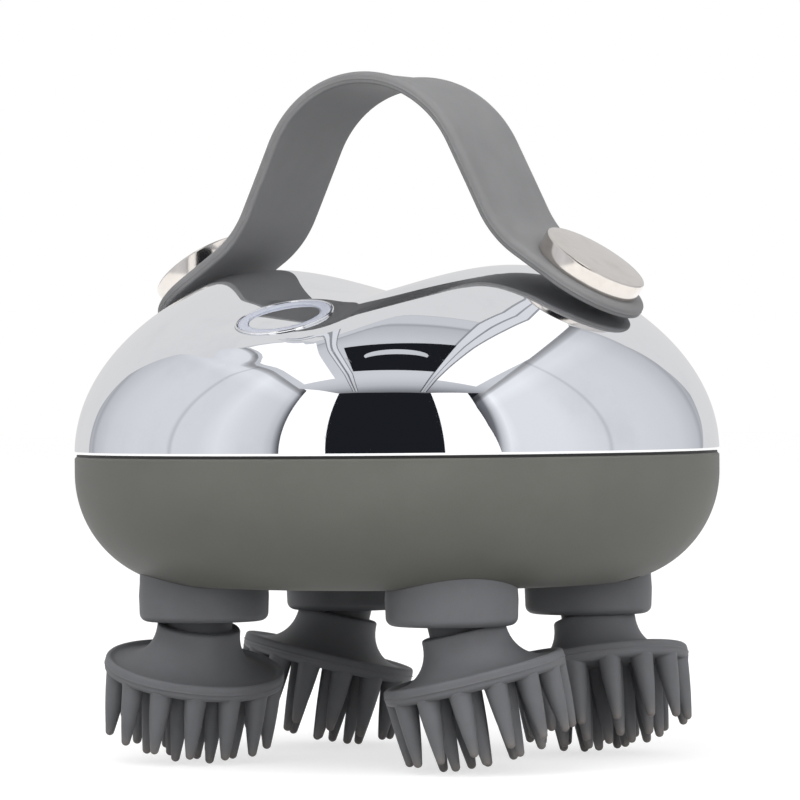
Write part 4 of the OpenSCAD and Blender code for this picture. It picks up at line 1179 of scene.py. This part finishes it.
def makeScrews():
    wide, edge, under = screw["headRadius"], screw["headEdge"], screw["headHeight"]
    shank, point = screw["shankRadius"], screw["point"]
    low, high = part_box("housing_screws")[0].z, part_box("housing_screws")[1].z
    length = high - low
    profile = [(0, 0)] + arc(wide - edge, edge, edge, -90, 0, 3)
    profile += [(wide, under), (shank, under), (shank, length - point), (shank - point, length), (0, length)]
    piece = newObject("shell_screws", lathe(profile, 40))
    knives = []
    for along in (0, 90):                        # the two slots of the cross recess
        bar = bmesh.new()
        bmesh.ops.create_cube(bar, size=1.0)
        turn = Matrix.Rotation(math.radians(along), 4, "Z")
        size = Matrix.Diagonal((screw["recessSpan"], screw["recessWidth"], 2 * screw["recessDepth"], 1.0))
        bar.transform(turn @ size)
        knives.append(newObject("slot", bar))
    cut(piece, *knives)
    bake(piece)
    forget(*knives)
    growWith(piece, makeScrewTree(), {
        "Outer Spot": screwSpot(base["outerScrews"]), "Inner Spot": screwSpot(base["innerScrews"]),
        "Height": low, "Material": finishes["screw_steel"]})
    bake(piece)
    return settle(piece, "root", ["housing_screws"], sharp=35)


charge = {
    "radius": 0.006,
    "length": 0.006,
    "sunk": 0.001,
    "recessRadius": 0.0045,
    "recessDepth": 0.002,
    "mouthEdge": 0.0003,
    "edge": 0.0002,
    "contactX": 0.002,
    "contactRadius": 0.0008,
    "contactRise": 0.0001,     # over the recess floor
    "contactEdge": 0.0003,
    "contactTail": 0.0015,     # behind the insert
}


def makeChargeInsert():
    radius, recess, face = charge["radius"], charge["recessRadius"], -charge["sunk"]
    edge, mouth, back = charge["edge"], charge["mouthEdge"], -charge["length"]
    floor = face - charge["recessDepth"]
    profile = [(0, floor), (recess - edge, floor), (recess, floor + edge)]
    profile += arc(recess + mouth, face - mouth, mouth, 180, 90, 4)
    profile += arc(radius - edge, face - edge, edge, 90, 0, 3)
    profile += [(radius, back), (0, back)]
    body = lathe(profile, 96)
    body.transform(chargeFrame())
    piece = newObject("charge_socket", body, finishes["insert_plastic"])
    settle(piece, "root", ["charge_insert"], sharp=40)

    pins = bmesh.new()
    wide, corner = charge["contactRadius"], charge["contactEdge"]
    tip, tail = floor + charge["contactRise"], back - charge["contactTail"]
    pin = [(0, tip), (wide - corner, tip), (wide, tip - corner), (wide, tail), (0, tail)]
    for side in (-1, 1):
        addMesh(pins, lathe(pin, 32), Matrix.Translation((side * charge["contactX"], 0, 0)))
    pins.transform(chargeFrame())
    piece = newObject("charge_pins", pins, finishes["contact_gold"])
    settle(piece, "root", ["charge_contacts"], sharp=35)


makeScrews()
makeChargeInsert()
print("screws and charging recess made")


studio = {
    "azimuth": 30,             # the camera stands this far round from the front
    "distance": 0.85,
    "eyeHeight": 0.0631,
    "roll": 0.45,              # the picture stands a little higher on its right
    "focal": 4973.0,           # pixels, in a picture 800 pixels wide
    "middleX": 396.5,
    "middleY": 388.5,
    "picture": 800.0,
    "sensor": 36.0,
    "clip": (0.05, 50.0),
    "floorRadius": 6.0,
    "plainLight": 0.75,
    "paper": 0.42,
    "paperGlow": 0.68,
    "aimHeight": 0.06,         # the lamps look at this height
}
lamps = {                      # degrees round from the camera, degrees up, distance, size, power
    "key": (-25, 55, 1.3, 1.0, 8.0),
    "side_fill": (50, 30, 1.4, 1.0, 3.0),
    "front_fill": (12, 6, 1.3, 0.8, 6.0),
    "back": (180, 50, 1.4, 1.0, 2.0),
}
ahead = Matrix.Rotation(math.radians(studio["azimuth"]), 4, "Z")


def makeCamera():
    lens = bpy.data.cameras.new("camera")
    lens.sensor_width = studio["sensor"]
    lens.lens = studio["sensor"] * studio["focal"] / studio["picture"]
    lens.shift_x = 0.5 - studio["middleX"] / studio["picture"]
    lens.shift_y = studio["middleY"] / studio["picture"] - 0.5
    lens.clip_start, lens.clip_end = studio["clip"]
    camera = bpy.data.objects.new("camera", lens)
    stand = ahead @ Matrix.Translation((0, -studio["distance"], studio["eyeHeight"]))
    level = stand @ Matrix.Rotation(math.pi / 2, 4, "X")
    camera.matrix_world = level @ Matrix.Rotation(-math.radians(studio["roll"]), 4, "Z")
    bpy.context.scene.collection.objects.link(camera)
    bpy.context.scene.camera = camera


tent = {                       # the light tent round the object, in shares of its ceiling's height
    "height": 3.0,             # metres
    "left": -0.62,
    "right": 0.60,
    "front": 0.87,
    "floor": -0.03,
    "frontTop": 1.5,
    "layer": 0.004,            # each card on the ceiling hangs this much lower than the one before
    "backdrop": -1.6,
    "backdropHalf": 4.0,
    "backdropFoot": -0.2,
    "backdropTop": 1.1,
    "backdropTone": (219, 219, 220),
    "wallGlow": 1.2,
    "lampGlow": 1.15,
}
cloth = {                      # the tent's greys, 0 to 255, to which the tint adds some blue
    "glow": 231,
    "bright": 220,
    "plain": 209,
    "shade": 202,
    "fold": 185,
    "hem": 175,
    "edge": 163,
    "dim": 138,
    "dusk": 106,
    "dark": 68,
    "black": 28,
}
clothTint = (0, 2, 7)
clothRuns = {                  # from the tent's back to its front: where each grey stands
    "left": [(-0.77, "edge"), (-0.70, "hem"), (-0.66, "edge"), (-0.60, "fold"), (-0.40, "shade"),
             (-0.16, "plain"), (0.02, "plain"), (0.04, "fold"), (0.055, "plain"), (0.18, "plain"),
             (0.28, "bright"), (0.40, "plain"), (0.56, "shade"), (0.63, "fold"), (0.68, "dusk"),
             (0.70, "dark")],
    "right": [(-0.79, "edge"), (-0.70, "hem"), (-0.66, "edge"), (-0.58, "fold"), (-0.34, "shade"),
              (-0.05, "plain"), (0.09, "plain"), (0.105, "fold"), (0.12, "plain"), (0.33, "bright"),
              (0.63, "bright"), (0.71, "glow"), (0.79, "fold"), (0.84, "dusk"), (0.97, "dark")],
    "ceiling": [(-0.26, "hem"), (-0.24, "shade"), (-0.15, "shade"), (-0.125, "edge"), (-0.10, "fold"),
                (0.06, "shade"), (0.53, "plain"), (0.61, "shade"), (0.70, "fold"), (0.80, "dim"),
                (0.86, "dusk")],
    "ribbon": [(-1.0, "bright"), (0.4, "bright"), (0.8, "hem")],
    "hem": [(-1.0, "edge"), (0.3, "dim"), (0.9, "dark")],
    "glint": [(-1.0, "shade"), (1.0, "shade")],
    "opening": [(-1.0, "black"), (1.0, "black")],
}
# up a wall, as shares of its light: plain, brighter below its top, then the dark hem
wallFade = [(0.0, 0.89), (0.66, 0.90), (0.8, 1.0), (0.9, 0.97), (0.93, 0.62), (0.97, 0.39), (1.0, 0.43)]
wallEdges = {                  # how far forward each wall reaches, and its back edge, as (near, up)
    "left": [(0.70, 1.05), (0.70, -0.03), (-0.77, -0.03), (-0.77, 0.04), (-0.76, 0.22), (-0.68, 0.42),
             (-0.50, 0.63), (-0.24, 0.95), (-0.20, 1.05)],
    "right": [(0.97, 1.05), (0.94, 0.74), (0.90, 0.44), (0.81, 0.06), (0.80, -0.03), (-0.66, -0.03),
              (-0.75, 0.13), (-0.79, 0.26), (-0.69, 0.41), (-0.63, 0.63), (-0.65, 1.05)],
}
# ribbons along the ceiling, as (right, near, width)
rightRibbon = [(0.37, -1.20, 0.03), (0.41, -0.80, 0.06), (0.385, -0.46, 0.09), (0.33, -0.22, 0.10),
               (0.275, 0.08, 0.07), (0.232, 0.38, 0.045), (0.205, 0.59, 0.035), (0.18, 0.84, 0.03)]
outerRibbon = [(-0.285, -0.45, 0.012), (-0.266, 0.48, 0.012), (-0.282, 0.80, 0.01)]
innerRibbon = [(-0.26, -0.45, 0.018), (-0.241, 0.48, 0.018), (-0.264, 0.80, 0.012)]


def ribbon(line, spare=0.0):
    # a band along (right, near, width) points, wider by the spare on both sides
    one = [(right - width / 2 - spare, near) for right, near, width in line]
    other = [(right + width / 2 + spare, near) for right, near, width in line]
    return one + other[::-1]


def oval(middleNear, halfWidth, halfDepth, steps=40):
    turns = [2 * math.pi * step / steps for step in range(steps)]
    return [(halfWidth * math.cos(turn), middleNear + halfDepth * math.sin(turn)) for turn in turns]


overheads = {                  # (right, near) outlines on the ceiling
    "ceiling": [(-0.62, -0.25), (0.62, -0.25), (0.62, 0.75), (0.5, 0.79), (0.2, 0.86), (-0.11, 0.85),
                (-0.40, 0.81), (-0.50, 0.70), (-0.62, 0.60)],
    "lamp_left": [(-0.60, -0.18), (-0.32, -0.21), (-0.34, 0.52), (-0.55, 0.54)],
    "lamp_right": [(0.37, -1.21), (0.48, -0.92), (0.62, -0.59), (0.66, -0.35), (0.59, 0.15),
                   (0.50, 0.64), (0.22, 0.59), (0.29, 0.16), (0.36, -0.2), (0.41, -0.5)],
    "hem_right": ribbon(rightRibbon, 0.009),
    "ribbon_right": ribbon(rightRibbon),
    "hem_fold": ribbon([(right, near, 0.1 * width) for right, near, width in rightRibbon]),
    "hem_outer": ribbon(outerRibbon, 0.005),
    "ribbon_outer": ribbon(outerRibbon),
    "hem_inner": ribbon(innerRibbon, 0.005),
    "ribbon_inner": ribbon(innerRibbon),
    "opening_above": [(-0.21, 0.11), (0.24, 0.08), (0.20, 0.46), (-0.22, 0.44)],
    "glint_above": oval(0.245, 0.14, 0.075),
    "opening_eye": oval(0.285, 0.145, 0.055),
}
foot, roof = tent["floor"], tent["frontTop"]
frontCards = {                 # (right, up) outlines at the tent's front, and how far behind it each stands
    "opening_front": (0.0, [(-0.40, foot), (0.26, foot), (0.23, roof), (-0.43, roof)]),
    "lamp_strip_left": (0.01, [(-0.85, foot), (-0.38, foot), (-0.41, roof), (-0.85, roof)]),
    "lamp_strip_right": (0.01, [(0.24, foot), (0.66, foot), (0.65, 0.06), (0.58, 0.44), (0.55, 0.74),
                                (0.54, roof), (0.21, roof)]),
    "opening_gap": (0.2, [(-1.0, foot), (1.0, foot), (1.0, roof), (-1.0, roof)]),
}


def toneRamp(tree, value, stops):
    node = tree.nodes.new("ShaderNodeValToRGB")
    ramp = node.color_ramp
    while len(ramp.elements) < len(stops):
        ramp.elements.new(0.5)
    for element, (place, colour) in zip(ramp.elements, stops):
        element.position = place
        element.color = colour
    link(tree, value, node.inputs["Fac"])
    return node.outputs["Color"]


def glowMaterial(name, stops, across=None, strength=1.0):
    # a card that only metal sees: colours from the tent's back to its front, times shares across
    material = bpy.data.materials.new(name)
    material.use_nodes = True
    tree = material.node_tree
    tree.nodes.clear()
    uv = tree.nodes.new("ShaderNodeUVMap")
    uv.uv_map = "card"
    split = tree.nodes.new("ShaderNodeSeparateXYZ")
    link(tree, uv.outputs["UV"], split.inputs["Vector"])
    colour = toneRamp(tree, split.outputs["X"], [((near + 1) / 2, tone) for near, tone in stops])
    if across:
        mix = tree.nodes.new("ShaderNodeMix")
        mix.data_type = "RGBA"
        mix.blend_type = "MULTIPLY"
        mix.inputs["Factor"].default_value = 1.0
        given = [socket for socket in mix.inputs if socket.type == "RGBA"]
        shares = [(place, (share, share, share, 1.0)) for place, share in across]
        link(tree, colour, given[0])
        link(tree, toneRamp(tree, split.outputs["Y"], shares), given[1])
        colour = [socket for socket in mix.outputs if socket.type == "RGBA"][0]
    glow = tree.nodes.new("ShaderNodeEmission")
    glow.inputs["Strength"].default_value = strength
    link(tree, colour, glow.inputs["Color"])
    end = tree.nodes.new("ShaderNodeOutputMaterial")
    link(tree, glow.outputs["Emission"], end.inputs["Surface"])
    return material


def clothMaterial(name, across=None, strength=1.0):
    # one of the runs of grey cloth
    stops = []
    for near, word in clothRuns[name]:
        stops.append((near, srgb(*[cloth[word] + tint for tint in clothTint])))
    return glowMaterial(name + "Cloth", stops, across, strength)


def plainMaterial(name, tone, strength=1.0):
    return glowMaterial(name, [(-1.0, srgb(*tone)), (1.0, srgb(*tone))], None, strength)


def makeCard(name, corners, material):
    # corners in shares of the ceiling's height: right of the view, towards the camera, up
    mesh = bpy.data.meshes.new(name)
    spots = [tent["height"] * (ahead @ Vector((right, -near, up))) for right, near, up in corners]
    mesh.from_pydata([tuple(spot) for spot in spots], [], [tuple(range(len(spots)))])
    uv = mesh.uv_layers.new(name="card")
    for corner, (_, near, up) in zip(uv.data, corners):
        corner.uv = ((near + 1) / 2, up)
    mesh.materials.append(material)
    card = bpy.data.objects.new(name, mesh)
    bpy.context.scene.collection.objects.link(card)
    card.visible_camera = False
    card.visible_diffuse = False
    card.visible_shadow = False
    return card


def makeWalls():
    for side in ("left", "right"):
        corners = [(tent[side], near, up) for near, up in wallEdges[side]]
        makeCard("wall_" + side, corners, clothMaterial(side, wallFade, tent["wallGlow"]))


def makeBackdrop():
    pale = plainMaterial("backdropPaper", tent["backdropTone"])
    half, back = tent["backdropHalf"], tent["backdrop"]
    low, top = tent["backdropFoot"], tent["backdropTop"]
    upright = [(-half, back, low), (half, back, low), (half, back, top), (-half, back, top)]
    cover = [(-half, back, top), (half, back, top), (half, 0, top), (-half, 0, top)]
    makeCard("backdrop", upright, pale)
    makeCard("backdrop_top", cover, pale)


def makeTentCards():
    # the first word of a card's name is its material
    glows = {word: clothMaterial(word) for word in ("ceiling", "ribbon", "hem", "glint", "opening")}
    glows["lamp"] = plainMaterial("lampCloth", (255, 255, 255), tent["lampGlow"])
    for step, (name, outline) in enumerate(overheads.items()):
        # drawn on the ceiling, and hung a little lower in the same direction
        height = 1.0 - tent["layer"] * step
        corners = [(right * height, near * height, height) for right, near in outline]
        makeCard(name, corners, glows[name.split("_")[0]])
    for name, (behind, outline) in frontCards.items():
        corners = [(right, tent["front"] + behind, up) for right, up in outline]
        makeCard(name, corners, glows[name.split("_")[0]])


def makeLamp(name, azimuth, elevation, distance, size, power):
    light = bpy.data.lights.new(name, "AREA")
    light.shape = "DISK"
    light.size = size
    light.energy = power
    lamp = bpy.data.objects.new(name, light)
    middle = Matrix.Translation((0, 0, studio["aimHeight"]))
    turn = Matrix.Rotation(math.radians(azimuth), 4, "Z")
    tip = Matrix.Rotation(math.radians(90 - elevation), 4, "X")
    lamp.matrix_world = middle @ ahead @ turn @ tip @ Matrix.Translation((0, 0, distance))
    lamp.visible_glossy = False
    bpy.context.scene.collection.objects.link(lamp)


def makeWorld():
    # white to the eye and to metal, an even plain light to everything else
    world = bpy.data.worlds.new("studio")
    world.use_nodes = True
    tree = world.node_tree
    tree.nodes.clear()
    rays = tree.nodes.new("ShaderNodeLightPath").outputs
    bright = calc(tree, "MAXIMUM", rays["Is Glossy Ray"], rays["Is Transmission Ray"])
    seen = calc(tree, "MAXIMUM", rays["Is Camera Ray"], bright)
    plain = studio["plainLight"]
    strength = calc(tree, "ADD", plain, calc(tree, "MULTIPLY", seen, 1.0 - plain))
    glow = tree.nodes.new("ShaderNodeBackground")
    glow.inputs["Color"].default_value = (1, 1, 1, 1)
    link(tree, strength, glow.inputs["Strength"])
    end = tree.nodes.new("ShaderNodeOutputWorld")
    link(tree, glow.outputs["Background"], end.inputs["Surface"])
    bpy.context.scene.world = world


def makeFloor():
    # plain pale paper that keeps a soft shadow
    bm = bmesh.new()
    bmesh.ops.create_circle(bm, cap_ends=True, segments=96, radius=studio["floorRadius"])
    material = bpy.data.materials.new("paperFloor")
    material.use_nodes = True
    tree = material.node_tree
    tree.nodes.clear()
    paper = tree.nodes.new("ShaderNodeBsdfDiffuse")
    paper.inputs["Color"].default_value = (studio["paper"], studio["paper"], studio["paper"], 1)
    glow = tree.nodes.new("ShaderNodeEmission")
    rays = tree.nodes.new("ShaderNodeLightPath").outputs
    seen = calc(tree, "MAXIMUM", rays["Is Camera Ray"], rays["Is Glossy Ray"])
    link(tree, calc(tree, "MULTIPLY", seen, studio["paperGlow"]), glow.inputs["Strength"])
    both = tree.nodes.new("ShaderNodeAddShader")
    link(tree, paper.outputs["BSDF"], both.inputs[0])
    link(tree, glow.outputs["Emission"], both.inputs[1])
    end = tree.nodes.new("ShaderNodeOutputMaterial")
    link(tree, both.outputs["Shader"], end.inputs["Surface"])
    newObject("paper_floor", bm, material)


makeCamera()
makeWalls()
makeBackdrop()
makeTentCards()
for name, settings in lamps.items():
    makeLamp(name, *settings)
makeWorld()
makeFloor()
bpy.context.scene.view_settings.view_transform = "Standard"
print("studio set")
